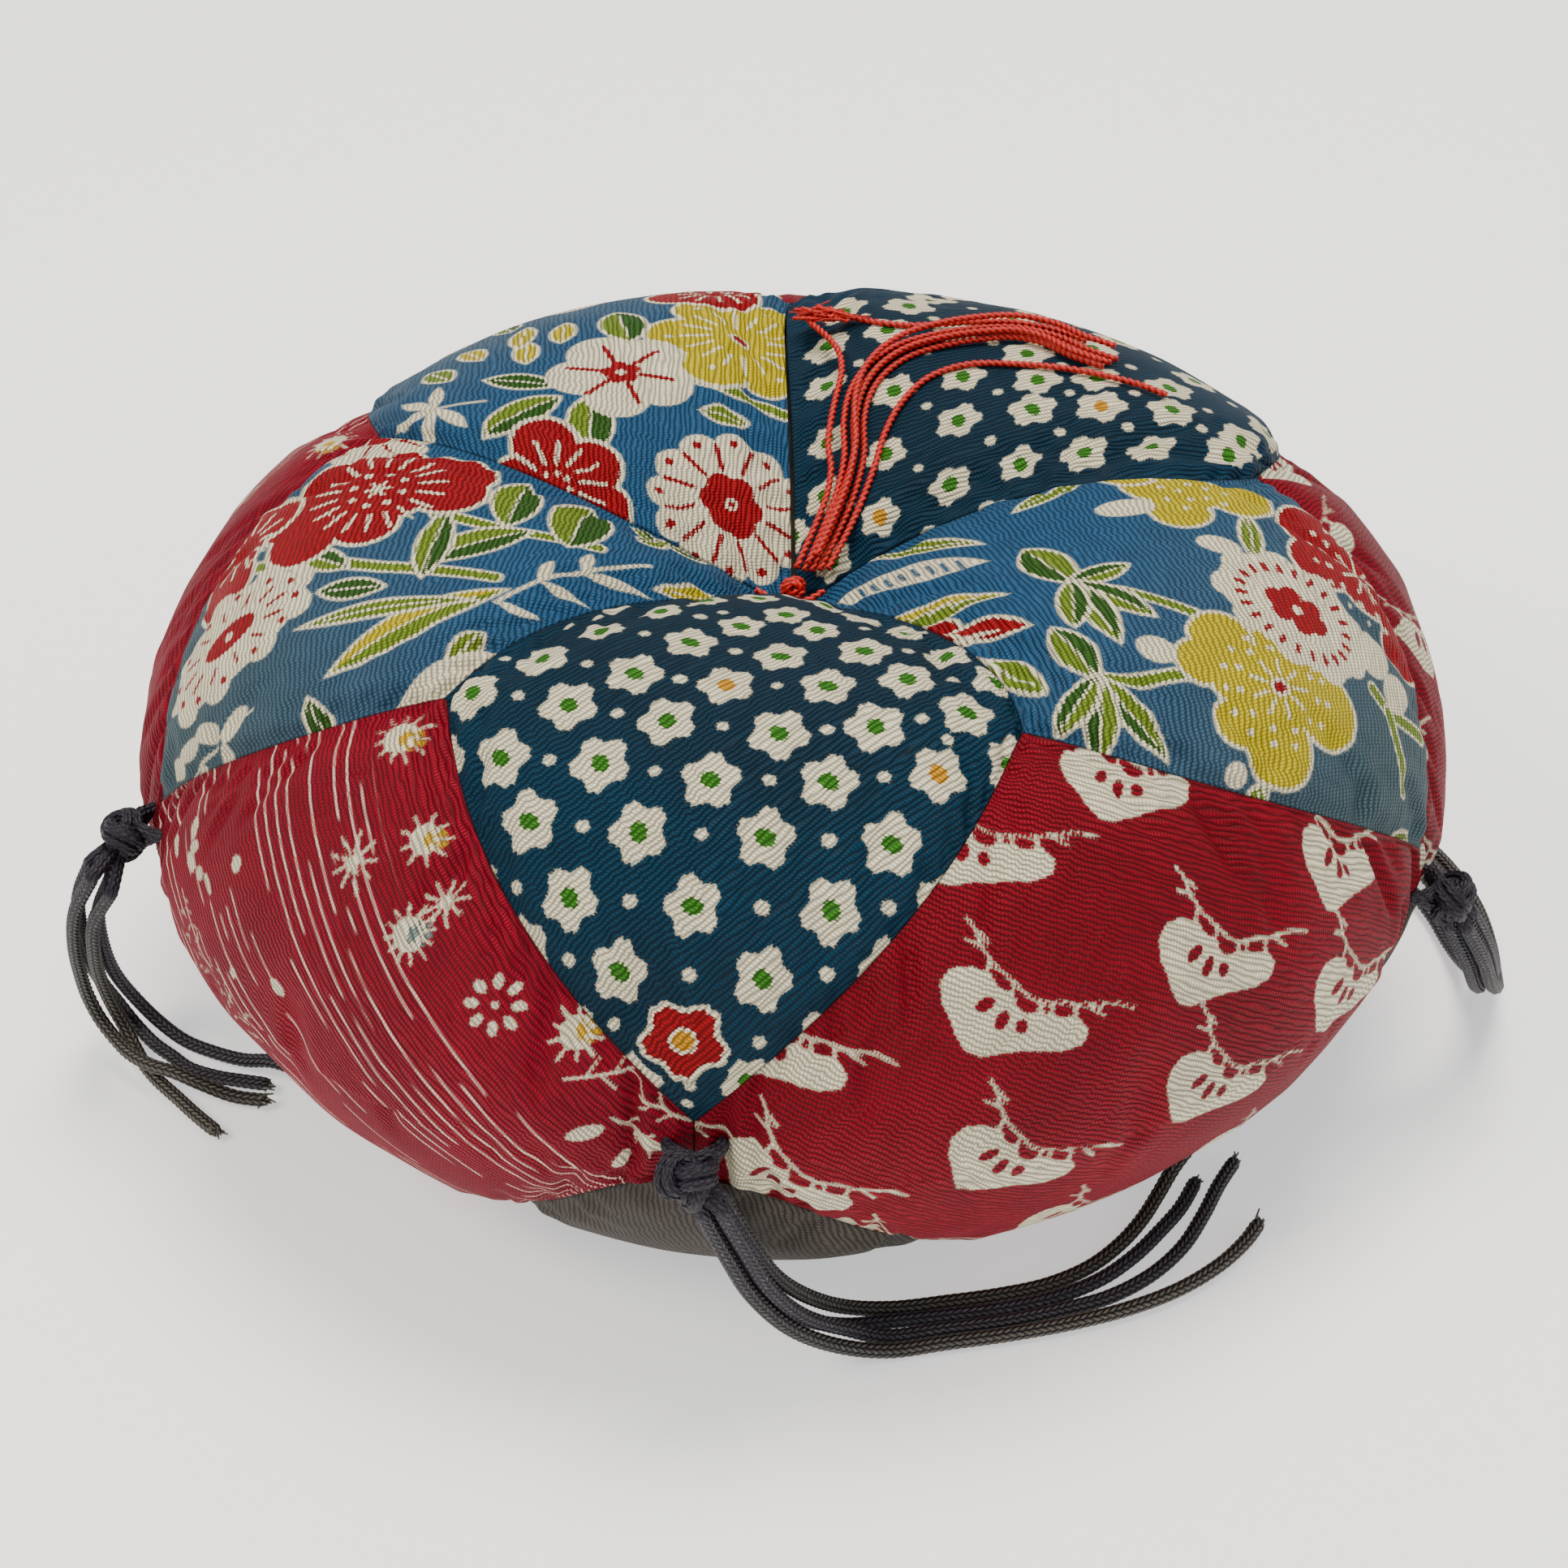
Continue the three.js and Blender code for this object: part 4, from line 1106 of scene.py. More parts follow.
# ---- Blue crepe with flowers, one stretch of it to each of three panels ----
def right_print(p):
    right_leaves(p)
    p.bloom("yellow", [(7.2, 40.3, 2.4), (10.2, 40, 2), (4, 44.6, 2.7), (6.4, 49.8, 3.1),
                       (12.4, 48.2, 2.9), (13, 44.6, 1.9), (8.3, 45.6, 3.6), (9.6, 43, 2.4)], 0.35)
    p.rays("cream", (8.2, 45.8), 9, 1.2, 2.4, 0.26, 8)
    p.spots("cream", (8.2, 45.8), 11, 3.4, 0.26, 20)
    p.spots("cream", (8.2, 45.8), 15, 4.5, 0.26)
    p.dot("red", (8.2, 45.8), 0.5, 0.3)
    p.bloom("red", [(-10.5, 53.4, 3.6), (-8, 54, 2.6), (-15.2, 47, 3.3), (-11.5, 43.4, 3.3),
                    (-7.4, 44.4, 2.6), (-10.5, 48, 4)], 0.35)
    p.rays("cream", (-10.6, 48), 9, 0.8, 2.6, 0.26, 5)
    p.spots("cream", (-10.6, 48), 12, 3.8, 0.3, 12)
    p.spots("cream", (-10.6, 48), 14, 5, 0.26)
    p.oval("cream", (-0.2, 44.3), (4.9, 6.6))
    p.scallops("cream", (-0.2, 44.3), 9, (4, 5.6), 1.6, 10)
    for place, angle in ring_places((-0.2, 44.3), 22, (3.6, 4.5)):
        out = (math.cos(angle) * 0.6, math.sin(angle) * 0.6)
        p.line("red", [place, (place[0] + out[0], place[1] + out[1])], 0.5)
    p.scallops("red", (-0.2, 44.3), 6, (1.2, 1.9), 0.95, 30)
    p.dot("cream", (-0.2, 44.3), 0.45)
    p.bloom("yellow", [(-10.9, 36.5, 2.9), (-6.2, 33, 2.4), (-9.3, 30.3, 2.7), (-9.6, 33, 2.8)], 0.35)
    p.leaf("yellow", (-9.5, 30), (-9.6, 25.2), 2.4, vein=False)
    p.spots("cream", (-9.2, 33.4), 9, 2.6, 0.26)
    p.spots("cream", (-9.2, 33.4), 5, 1.2, 0.24)
    for centre, half, turn in (((-3, 51.5), (2.1, 1.9), 0), ((-2.4, 54.9), (1.8, 1.6), 0),
                               ((-2.9, 36.9), (1.1, 1.8), 10), ((-4.9, 29), (1.2, 2.4), 25),
                               ((11.3, 36.8), (1.3, 1.6), 0), ((16.6, 46.5), (1, 1), 0)):
        p.oval("cream", centre, half, turn)


def right_leaves(p):
    p.line("green", [(0, 52.7), (0, 55), (-2.9, 59.3)], 0.9, 0.25)
    p.line("green", [(0, 55), (3.4, 60)], 0.9, 0.25)
    p.leaf("green", (3.5, 64.4), (8, 62.5), 1.8)
    p.leaf("green", (15.5, 49), (18.5, 49), 1.4)
    p.leaf("green", (-8.3, 37.8), (-3, 39.8), 1.6)
    p.leaf("green", (-9.9, 24.6), (-4, 20.5), 1.9)
    p.line("green", [(6, 39), (6.3, 32), (7.2, 28.8)], 0.7, 0.25)
    for end, width in (((2.3, 23.2), 3.3), ((2.8, 31.4), 1.9), ((8, 35.2), 2.1), ((12, 34.2), 2.1),
                       ((11.9, 30.8), 2)):
        p.leaf("green", (6.6, 28.4), end, width, lit="dark")
    p.line("green", [(16, 35), (14.2, 37.4), (11.8, 40)], 0.8, 0.3)
    for end, width in (((12.9, 29.6), 2.6), ((19, 41.4), 2), ((22, 37.6), 2.2), ((21.8, 34), 1.9)):
        p.leaf("dark", (16.4, 34.3), end, width, lit="green")
    for end, width in (((18.8, 31.4), 2.3), ((20.4, 28.2), 1.7), ((19.6, 25.6), 1.4)):
        p.leaf("green", (16.6, 25.2), end, width)
    for base, end, width in (((16.9, 17.4), (13.6, 24), 2.6), ((12.3, 19), (14.4, 23), 2.2),
                             ((13.4, 21.6), (13, 27.6), 1.9), ((15.4, 20.6), (16.6, 24), 1.6)):
        p.leaf("red", base, end, width, vein=False)
    p.line("cream", [(15.6, 19.4), (13.4, 25.4)], 0.28)
    p.leaf("green", (12.8, 11.4), (9, 23.8), 2.8, lit="yellow")
    for k in range(5):
        height = 13 + 1.9 * k
        p.line("cream", [(12.4 - 0.5 * k, height), (11 - 0.55 * k, height + 1.6)], 0.3)
    p.leaf("cream", (3.9, 21), (3.8, 6.6), 3.6, outline=0, vein=False)
    for k in range(8):
        height = 8.8 + 1.3 * k
        p.erase(stroke(p.x, p.y, [(3.3, height), (4.6, height + 1.1)], 0.3))
    p.leaf("green", (0.7, 18.6), (-2.4, 7.8), 1.5)


def left_print(p):
    left_leaves(p)
    p.bloom("red", [(6, 41.5, 3), (10.1, 41.5, 3.2), (12.2, 38.4, 3), (12.6, 33.4, 3.2),
                    (9.8, 29, 3.8), (6.6, 29.6, 3), (4.8, 36.5, 2.6), (8.8, 34.6, 4.4)], 0.45)
    p.rays("cream", (8.8, 34.8), 18, 3.4, 5.4, 0.3)
    p.spots("cream", (8.8, 34.8), 8, 2.2, 0.32, 10)
    p.rays("cream", (8.8, 34.8), 6, 0.1, 1, 0.3, 15)
    p.bloom("red", [(7.3, 49, 3), (12.3, 44, 3), (11, 47.5, 3.4)], 0.45)
    p.rays("cream", (11, 46.5), 12, 1.8, 3.6, 0.3)
    p.oval("cream", (0.7, 49.6), (4.4, 7.4))
    p.scallops("cream", (0.7, 49.6), 9, (3.9, 6.9), 1.5)
    for place, angle in ring_places((0.7, 49.6), 12, (2.2, 3.9)):
        out = (math.cos(angle) * 1.0, math.sin(angle) * 1.6)
        p.line("red", [place, (place[0] + out[0], place[1] + out[1])], 0.36)
    for place, _ in ring_places((0.7, 49.6), 12, (3.8, 6.5), 15):
        p.dot("red", place, 0.36)
    p.oval("red", (0.7, 49.6), (1.3, 2.7))
    p.dot("cream", (0.7, 49.6), 0.42)
    p.scallops("cream", (18.6, 34), 8, (3.2, 3.6), 1.4)
    p.rays("red", (18.6, 34), 9, 1.5, 3.6, 0.4)
    p.dot("red", (18.6, 34), 1.1)
    p.line("cream", [(-18.4, 42), (-16.2, 38.6), (-14.9, 35.4), (-14.6, 32.6)], 2.5)
    p.dot("red", (-15.6, 33.4), 0.5)
    left_sprigs(p)


def left_leaves(p):
    p.line("green", [(-6.2, 29), (-1.5, 36.5), (6.3, 45.9)], 0.9, 0.3)
    p.line("green", [(-2.1, 19.6), (0, 25.9), (3.5, 31)], 0.9, 0.3)
    for base, end, width in (((-2.2, 33.7), (0, 24.6), 3), ((1, 26.2), (8.5, 22.8), 3.5),
                             ((-2.1, 22.1), (6, 17.8), 4.6), ((-4, 34), (3.5, 30.3), 2.4),
                             ((0.1, 39), (4.1, 41.8), 2)):
        p.leaf("dark", base, end, width, lit="green")
    p.leaf("dark", (-4, 37), (-1.5, 41.5), 2)
    p.leaf("green", (-9.9, 43), (-8, 29), 2.6, lit="yellow")
    p.leaf("green", (-4.3, 43.4), (-8.4, 32), 1.4)
    p.leaf("dark", (-15.9, 46.2), (-10.9, 45.6), 1.8)
    p.leaf("green", (-14, 35), (-12, 31.8), 1.6)
    for end in ((0.4, 15.4), (4.2, 14.8), (4.6, 10.8), (0.6, 9.4)):
        p.leaf("dark", (2, 12.5), end, 1.8, lit="green")
    p.leaf("yellow", (-5.6, 15.2), (-4, 6.5), 1.8)


def left_sprigs(p):
    for centre, turn in (((-7.1, 58.4), 20), ((-4, 57.4), -30), ((-9, 54.6), 60), ((-7.1, 52.1), 10),
                         ((-5.2, 54.8), -50), ((-6.2, 60.8), 0), ((-3, 60), -40)):
        p.oval("cream", centre, (0.85, 1.7), turn)
    p.line("cream", [(-7.6, 50), (-6.6, 55), (-5, 61.6)], 0.35)
    joints = [(-9.3, 29.9), (-7.1, 25.9), (-5.6, 22), (-3.4, 15.6)]
    p.line("cream", joints, 0.45)
    for base, end in (((-7.1, 25.9), (-9.6, 22.4)), ((-5.6, 22), (-6.9, 16.2)),
                      ((-7.1, 25.9), (-4.6, 24)), ((-5.6, 22), (-3, 20.4)),
                      ((-9.3, 29.9), (-11.2, 27))):
        p.leaf("cream", base, end, 1.1, outline=0, vein=False)


def back_left_print(p):
    p.line("green", [(2.9, 23.4), (6, 20.6), (9, 17.8)], 0.8, 0.3)
    p.line("green", [(4.2, 22.2), (7.8, 22.6)], 0.7, 0.25)
    for base, end, width, lit in (((-9.9, 18.7), (-5.9, 24.9), 3.5, "green"),
                                  ((-15.9, 25.2), (-8.4, 25.9), 3, "green"),
                                  ((-11.5, 32.1), (-7.8, 27.7), 2.2, None),
                                  ((1, 30.9), (2.9, 36.8), 3.5, "green")):
        p.leaf("dark", base, end, width, lit=lit)
    p.leaf("green", (1.6, 19.9), (4.8, 17.8), 1.8)
    p.leaf("green", (-13.4, 35), (-13.2, 39.4), 2.2)
    for base, end in (((-7.6, 32.6), (-5.6, 36.4)), ((-3.6, 34.2), (-1.4, 37.4)),
                      ((-6.5, 36), (-3.5, 40.4)), ((-9.6, 36.6), (-9, 41.4))):
        p.leaf("yellow", base, end, 1.8)
    p.bloom("yellow", [(9.6, 33.2, 2.9), (13.8, 30.6, 2.9), (14, 25.8, 2.9), (10, 23.2, 2.9),
                       (5.6, 24.8, 2.9), (5.2, 29.8, 2.9), (9.6, 28, 4.8)], 0.4)
    p.rays("cream", (9.6, 28), 16, 2.6, 4.9, 0.28)
    p.spots("cream", (9.6, 28), 12, 5.9, 0.3, 8)
    p.dot("red", (9.6, 28), 0.7, 0.3)
    p.bloom("red", [(12.2, 36.5, 3.2), (9.6, 38.6, 2.6), (14.4, 39.4, 3)], 0.45)
    p.rays("cream", (12.2, 37.6), 10, 1.4, 3, 0.3)
    p.bloom("red", [(-16.2, 19.6, 2.7), (-12.4, 21.5, 2.7), (-10.6, 17.8, 2.7), (-12.1, 14, 2.7),
                    (-14, 17.8, 3)], 0.45)
    p.rays("cream", (-14, 17.8), 14, 2.2, 4.4, 0.3)
    p.spots("cream", (-14, 17.8), 8, 1.3, 0.25)
    p.scallops("cream", (-2.1, 26.8), 5, 3.4, 2.8, 18)
    p.rays("red", (-2.1, 26.8), 6, 1.6, 4.3, 0.5, 20)
    p.scallops("red", (-2.1, 26.8), 5, 0.9, 0.75)
    p.dot("cream", (-2.1, 26.8), 0.4)
    p.scallops("cream", (-0.9, 10.3), 12, 5.6, 1.75)
    p.rays("red", (-0.9, 10.3), 12, 3.4, 5.9, 0.46, 15)
    p.spots("red", (-0.9, 10.3), 12, 6.2, 0.42)
    p.scallops("red", (-0.9, 10.3), 6, (1.5, 1.9), 1.25, 30)
    p.dot("cream", (-0.9, 10.3), 0.55)
    p.dot("red", (-0.9, 10.3), 0.3)
    for end in ((-14.6, 34.6), (-18, 35.2), (-20.6, 32.4), (-20.4, 28), (-16.4, 26.8)):
        p.leaf("cream", (-17, 31), end, 1.3, outline=0, vein=False)
    p.line("cream", [(-17, 31), (-13.4, 29)], 0.4)
    back_left_far_print(p)


def back_left_far_print(p):
    """The same flowers again, on the part that is turned away."""
    p.scallops("cream", (3.4, 47), 5, 3, 2.5, 40)
    p.rays("red", (3.4, 47), 6, 1.4, 3.8, 0.45, 10)
    p.scallops("red", (3.4, 47), 5, 0.8, 0.7)
    p.dot("cream", (3.4, 47), 0.4)
    p.bloom("yellow", [(-5.6, 50.4, 2.3), (-2.4, 52.6, 2.3), (-3.4, 56.2, 2.3), (-7, 56, 2.2),
                       (-8.2, 52.6, 2.2), (-5.3, 53.5, 3.4)], 0.4)
    p.rays("cream", (-5.3, 53.5), 12, 1.6, 3.6, 0.28)
    p.dot("red", (-5.3, 53.5), 0.6, 0.3)
    for base, end, width in (((-4, 47.6), (-9.6, 45.4), 2.4), ((-3, 46.2), (-4.4, 41.8), 2),
                             ((3, 52.2), (6, 56.4), 2.2), ((1.6, 53), (0.6, 58.6), 1.9)):
        p.leaf("green", base, end, width, lit="dark")


# ---- Deep red crepe with half plum blossoms on their twigs ----
FAN_PLACES = [(-8.2, 12.8), (8.1, 12.1), (23.5, 12.7), (-25.6, 12.1), (-25.4, 0.8), (-9.2, 1.3),
              (7.7, 2.1), (22, 3.2), (-7.1, 24.9), (6.3, 26.4), (-17, -10.5), (-1, -12), (15, -12.5),
              (36, -9), (-38, 6)]
FAN_BODY = [(-5.2, 1.2), (-5, 2.5), (-4.2, 3.2), (-3, 3.1), (-1.9, 2.4), (-0.9, 1), (0.1, -0.5),
            (1.7, -1.2), (3.6, -1.9), (4, -2.7), (3.6, -3.3), (2.2, -3.4), (0.6, -3), (-0.8, -2.7),
            (-2.4, -2.6), (-3.5, -2.6), (-4.4, -2.1), (-4.8, -1), (-4.9, 0)]
FAN_TWIG = [(-2.2, 6.8), (-1.8, 6), (-1.7, 4.6), (-1.2, 3.2), (-0.3, 1.9), (0.5, 0.7), (1.5, 0),
            (3, -0.3), (4.1, -0.8), (5.4, -1), (6.7, -1.3), (8, -2)]
FAN_SHOOTS = [((-2.7, 5.3), (-1.7, 4.6)), ((-1.5, 5.6), (-1.1, 4.9)), ((4.5, -0.8), (5.7, -2)),
              ((-1.4, 3.6), (-1.9, 2.9)), ((-0.2, 1.9), (-0.6, 1.2)), ((1.3, 0.1), (1.1, -0.9)),
              ((2, -0.2), (2, -1.2)), ((3.7, -0.6), (3.6, -1.6))]
# Ovals left red: middle, half length and half width, and lean in degrees.
FAN_HOLES = [((-2.6, 0.7), (0.78, 0.42), 20), ((-1.7, -0.6), (0.76, 0.42), 48),
             ((-0.4, -1.3), (0.5, 0.46), 80), ((-1, 1.9), (0.68, 0.36), -50),
             ((0.2, 0.1), (0.8, 0.44), -38), ((2.75, -0.9), (0.66, 0.36), -14)]


def fan_motif(p, centre):
    """Half a plum blossom under its twig."""
    def placed(points):
        return [(centre[0] + a, centre[1] + b) for a, b in points]
    p.paint("cream", outline_shape(p.x, p.y, placed(FAN_BODY), 0.35))
    p.line("cream", placed(FAN_TWIG), 0.36)
    for shoot in FAN_SHOOTS:
        p.line("cream", placed(shoot), 0.36)
    for middle, half, lean in FAN_HOLES:
        p.erase(oval(p.x, p.y, placed([middle])[0], half, lean))


def fan_print(p):
    for centre in FAN_PLACES:
        fan_motif(p, centre)


# ---- Brighter red crepe with streaks and snow stars ----
FAR_PLAIN_FROM = 3.0
# Stars: middle, reach, rays and the ink of a round heart.
STARS = [((0, 27), 2.3, 11, "yellow"), ((2.7, 17.5), 2.2, 9, None), ((7.1, 21.2), 2, 9, "yellow"),
         ((11, 17.7), 1.9, 9, None), ((9.6, 14.7), 2.2, 12, "grey"), ((24.2, 11), 2.2, 10, "yellow"),
         ((-24, 12), 2.1, 10, None), ((-31, 2), 2, 9, "grey"), ((-20, -3), 1.9, 9, None)]
OVAL_STAR = (17.6, 11.8)
# Flakes: middle, half length and half width, and lean in degrees.
FLAKES = [((-1.5, 5.5), (0.6, 0.85), 60), ((-8.2, 12.2), (0.6, 0.7), 0), ((-7, 3.8), (0.45, 0.5), 0),
          ((25.8, 3.6), (1.5, 0.6), 25), ((30.8, 3.2), (1.4, 0.6), -20), ((28.4, 1.4), (1.1, 0.5), 60),
          ((-15.5, 11.2), (0.6, 0.9), 20), ((-14.6, 10.2), (0.8, 0.5), 40),
          ((-14.6, 8.9), (0.9, 0.6), -20), ((-12.8, 9), (0.6, 0.6), 0),
          ((-11.4, 8.9), (0.9, 0.4), -40), ((-19, 9.2), (0.5, 1), 10), ((-17.8, 8.4), (0.9, 0.45), -50)]
# Sprigs: foot, lean in degrees and length.
SPRIGS = [((24, 7.6), 14, 5), ((27.6, 5), -30, 4), ((-28, 8), 30, 5), ((33.6, 5.2), 160, 4.2)]


def snow_star(p, centre, reach, rays, turn, heart=None):
    """A burst of short rays. With a heart, its middle is round and shaded on one side."""
    chance = np.random.default_rng(int(abs(centre[0] * 31 + centre[1] * 17)) + 1)
    middle = reach * (0.6 if heart else 0.26)
    p.dot("cream", centre, middle)
    if heart:
        p.dot(heart, (centre[0] + reach * 0.36, centre[1] + reach * 0.14), middle * 0.78)
    for place, angle in ring_places(centre, rays, middle * 0.6, turn):
        far = reach * chance.uniform(0.85, 1.1)
        end = (centre[0] + far * math.cos(angle), centre[1] + far * math.sin(angle))
        p.line("cream", [place, end], 0.34)


def star_print(p):
    for centre, reach, rays, heart in STARS:
        snow_star(p, centre, reach, rays, 13 * reach, heart)
    for place, angle in ring_places(OVAL_STAR, 8, 1.75, 10):
        p.oval("cream", place, (0.62, 0.4), math.degrees(angle))
    p.dot("cream", OVAL_STAR, 0.32)
    for flake in FLAKES:
        p.oval("cream", *flake)
    star_net(p)
    for twig in SPRIGS:
        sprig(p, *twig)


def far_star_print(p):
    """The same cloth where it shows no stars at its right end."""
    star_print(p)
    p.erase(FAR_PLAIN_FROM - p.x)


def star_net(p):
    """A pale net of short strokes in ragged rows."""
    chance = np.random.default_rng(17)
    for row in range(4):
        for column in range(9):
            place = np.array([-15.4 + 1.15 * column, 5.6 - 0.62 * column - 1.1 * row])
            start = place + chance.normal(0, 0.22, 2)
            lean = math.radians(chance.uniform(-100, 80))
            end = start + chance.uniform(0.6, 1.2) * np.array([math.cos(lean), math.sin(lean)])
            p.line("cream", [tuple(start), tuple(end)], 0.24)


def sprig(p, base, lean, length):
    """A fine branching twig."""
    run = (math.cos(math.radians(lean)), math.sin(math.radians(lean)))
    tip = (base[0] + run[0] * length, base[1] + run[1] * length)
    p.line("cream", [base, tip], 0.3)
    for share, turn in ((0.3, 50), (0.5, -50), (0.7, 45), (0.88, -45)):
        start = (base[0] + run[0] * length * share, base[1] + run[1] * length * share)
        angle = math.radians(lean + turn)
        end = (start[0] + math.cos(angle) * length * 0.3, start[1] + math.sin(angle) * length * 0.3)
        p.line("cream", [start, end], 0.26)


def no_print(p):
    """Plain cloth."""


# ==== The patches ====
TIE_HOLE = 0.3                   # reach of the hole at the middle, in degrees of polar angle
SEAM_INSETS = {"top": 0.0008, "side": 0.0006, "under": 0.0008}   # share lost to a seam's gap
PUFF = 1.6                       # swell of a patch between its seams
TOP_STEPS = 220
SIDE_COLUMNS, SIDE_ROWS = 300, 160
UNDER_STEPS = 90
NET_STEPS = 26
SIDE_NET_ROWS = 14
ALLOWANCE = (0.35, 0.8, 1.3)     # how deep the turned-in edge of a patch goes, ring by ring
FLOOR_GAP = 0.05
PUCKER_PITCH = 2.7
PUCKER_REACH = 1.8
PUCKER_DEPTH = 0.22
GATHER_DEPTH = 0.5               # deeper at an inner corner by this much
GATHER_REACH = 0.16
ARCH_POWER = 0.7
EXTRA_PUFF = 0.2                 # swell on top of the billow
LUMPS = ((9, 0.22), (4.2, 0.08))       # size and height of the cloth's unevenness
LUMPS_FROM = 4                   # distance from a seam where it has its full height


def nearest_turn(azimuth, reference):
    return reference + (azimuth - reference + 180) % 360 - 180


def plan_point(polar, azimuth):
    turn = np.radians(azimuth)
    return np.stack([polar * np.cos(turn), polar * np.sin(turn)], -1)


def bent_seam(polar, azimuth, tip_polar, tip_azimuth, t):
    """The seam from a corner to a tip."""
    swing = nearest_turn(tip_azimuth, azimuth) - azimuth
    return polar + (tip_polar - polar) * t, azimuth + swing * t ** SEAM_BEND


FAR_STRAY_PEAK = 27 / 4          # makes the far stray reach its full angle two thirds of the way


def strayed(corner, t):
    """How far a seam from the middle lies beside the straight line to its corner."""
    angle = corner.near * (1 - t) + corner.far * FAR_STRAY_PEAK * t * t * (1 - t)
    reach = corner.polar * t
    return plan_point(reach, corner.azimuth + angle) - plan_point(reach, corner.azimuth)


def kite_place(tip_polar, tip_azimuth, first, second, u, v, hole):
    """Coons' patch between a kite's four seams, laid out in polar angle round the middle."""
    start = plan_point(hole, tip_azimuth)
    tip = plan_point(tip_polar, tip_azimuth)
    a, b = u[..., None], v[..., None]

    def corner_point(corner):
        return plan_point(corner.polar, corner.azimuth)

    def inner(corner, t):
        return start + (corner_point(corner) - start) * t[..., None] + strayed(corner, t)

    def outer(corner, t):
        return plan_point(*bent_seam(corner.polar, corner.azimuth, tip_polar, tip_azimuth, t))

    across = inner(first, u) * (1 - b) + outer(second, u) * b
    along = inner(second, v) * (1 - a) + outer(first, v) * a
    corners = ((start * (1 - a) + corner_point(first) * a) * (1 - b)
               + (corner_point(second) * (1 - a) + tip * a) * b)
    point = across + along - corners
    return np.hypot(point[..., 0], point[..., 1]), np.degrees(
        np.arctan2(point[..., 1], point[..., 0]))


def top_place(index, u, v, hole):
    tip = TIPS[index]
    return kite_place(tip.upper, tip.azimuth, CORNERS[index - 1], CORNERS[index], u, v, hole)


def under_place(index, u, v, hole):
    tip = TIPS[index]
    corners = [CORNERS[k]._replace(polar=180 - UNDER_CORNER_POLAR, near=0, far=0)
               for k in (index - 1, index)]
    polar, azimuth = kite_place(180 - tip.lower, tip.azimuth, *corners, u, v, hole)
    return 180 - polar, azimuth


def side_place(index, u, v, _hole):
    """Between two tips, from the corner's seam above to the seam underneath."""
    tips = TIPS[index], TIPS[(index + 1) % 5]
    corner = CORNERS[index]
    start = nearest_turn(corner.azimuth, tips[0].azimuth)
    t = np.abs(1 - 2 * u)
    left = u < 0.5
    upper = [bent_seam(corner.polar, start, tip.upper, tip.azimuth, t) for tip in tips]
    lower = [bent_seam(UNDER_CORNER_POLAR, start, tip.lower, tip.azimuth, t) for tip in tips]
    polar_up = np.where(left, upper[0][0], upper[1][0])
    polar_down = np.where(left, lower[0][0], lower[1][0])
    azimuth = np.where(left, upper[0][1], upper[1][1])
    return polar_up + (polar_down - polar_up) * v, azimuth


def top_flat(index, polar, azimuth):
    """Place on the flat cloth: y runs from the middle to the tip, x clockwise from above."""
    along = np.interp(polar, PROFILE_POLAR, PROFILE_ALONG)
    middle = TIPS[index].azimuth
    turn = np.radians(middle - nearest_turn(azimuth, middle)) * CONE
    return along * np.sin(turn), along * np.cos(turn)


def side_flat(index, polar, azimuth):
    """Place on the flat cloth: x runs right as seen from outside, y up from the rim."""
    middle = CORNERS[index].azimuth
    turn = np.radians(nearest_turn(azimuth, middle) - middle)
    reach = RIM_RADIUS * np.sin(np.radians(polar))
    return reach * turn, RIM_ALONG - np.interp(polar, PROFILE_POLAR, PROFILE_ALONG)


def under_flat(index, polar, azimuth):
    return top_flat(index, 180 - polar, azimuth)


class Patch:
    """One panel: where its grid lies, how it is printed and what it is made of."""

    def __init__(self, kind, index, printing, material, slot_name):
        places = {"top": (top_place, top_flat, TIPS, TOP_STEPS, TOP_STEPS, NET_STEPS, NET_STEPS),
                  "side": (side_place, side_flat, CORNERS, SIDE_COLUMNS, SIDE_ROWS,
                           2 * NET_STEPS, SIDE_NET_ROWS),
                  "under": (under_place, under_flat, TIPS, UNDER_STEPS, UNDER_STEPS,
                            NET_STEPS, NET_STEPS)}
        self.place, self.flat, names, self.columns, self.rows, *self.net_size = places[kind]
        self.kind, self.index = kind, index
        self.name = f"{kind}_patch_{names[index].name}"
        self.printing, self.material, self.slot_name = printing, material, slot_name

    def grid(self, columns, rows, inset, hole):
        u, v = np.meshgrid(np.linspace(inset, 1 - inset, columns + 1),
                           np.linspace(inset, 1 - inset, rows + 1))
        return u, v, *self.place(self.index, u, v, hole)

    def net(self):
        """The coarse grid's points, which meet those of the next patches."""
        u, v, polar, azimuth = self.grid(*self.net_size, 0, 0)
        return seam_surface(polar, azimuth)


def edge_runs(points):
    """How far each grid point is from the nearest edge, and how far along that edge."""
    run_u = np.zeros(points.shape[:2])
    run_v = np.zeros(points.shape[:2])
    run_u[:, 1:] = np.cumsum(np.linalg.norm(np.diff(points, axis=1), axis=-1), axis=1)
    run_v[1:] = np.cumsum(np.linalg.norm(np.diff(points, axis=0), axis=-1), axis=0)
    from_u = np.minimum(run_u, run_u[:, -1:] - run_u)
    from_v = np.minimum(run_v, run_v[-1:] - run_v)
    return np.minimum(from_u, from_v), np.where(from_u < from_v, run_v, run_u)


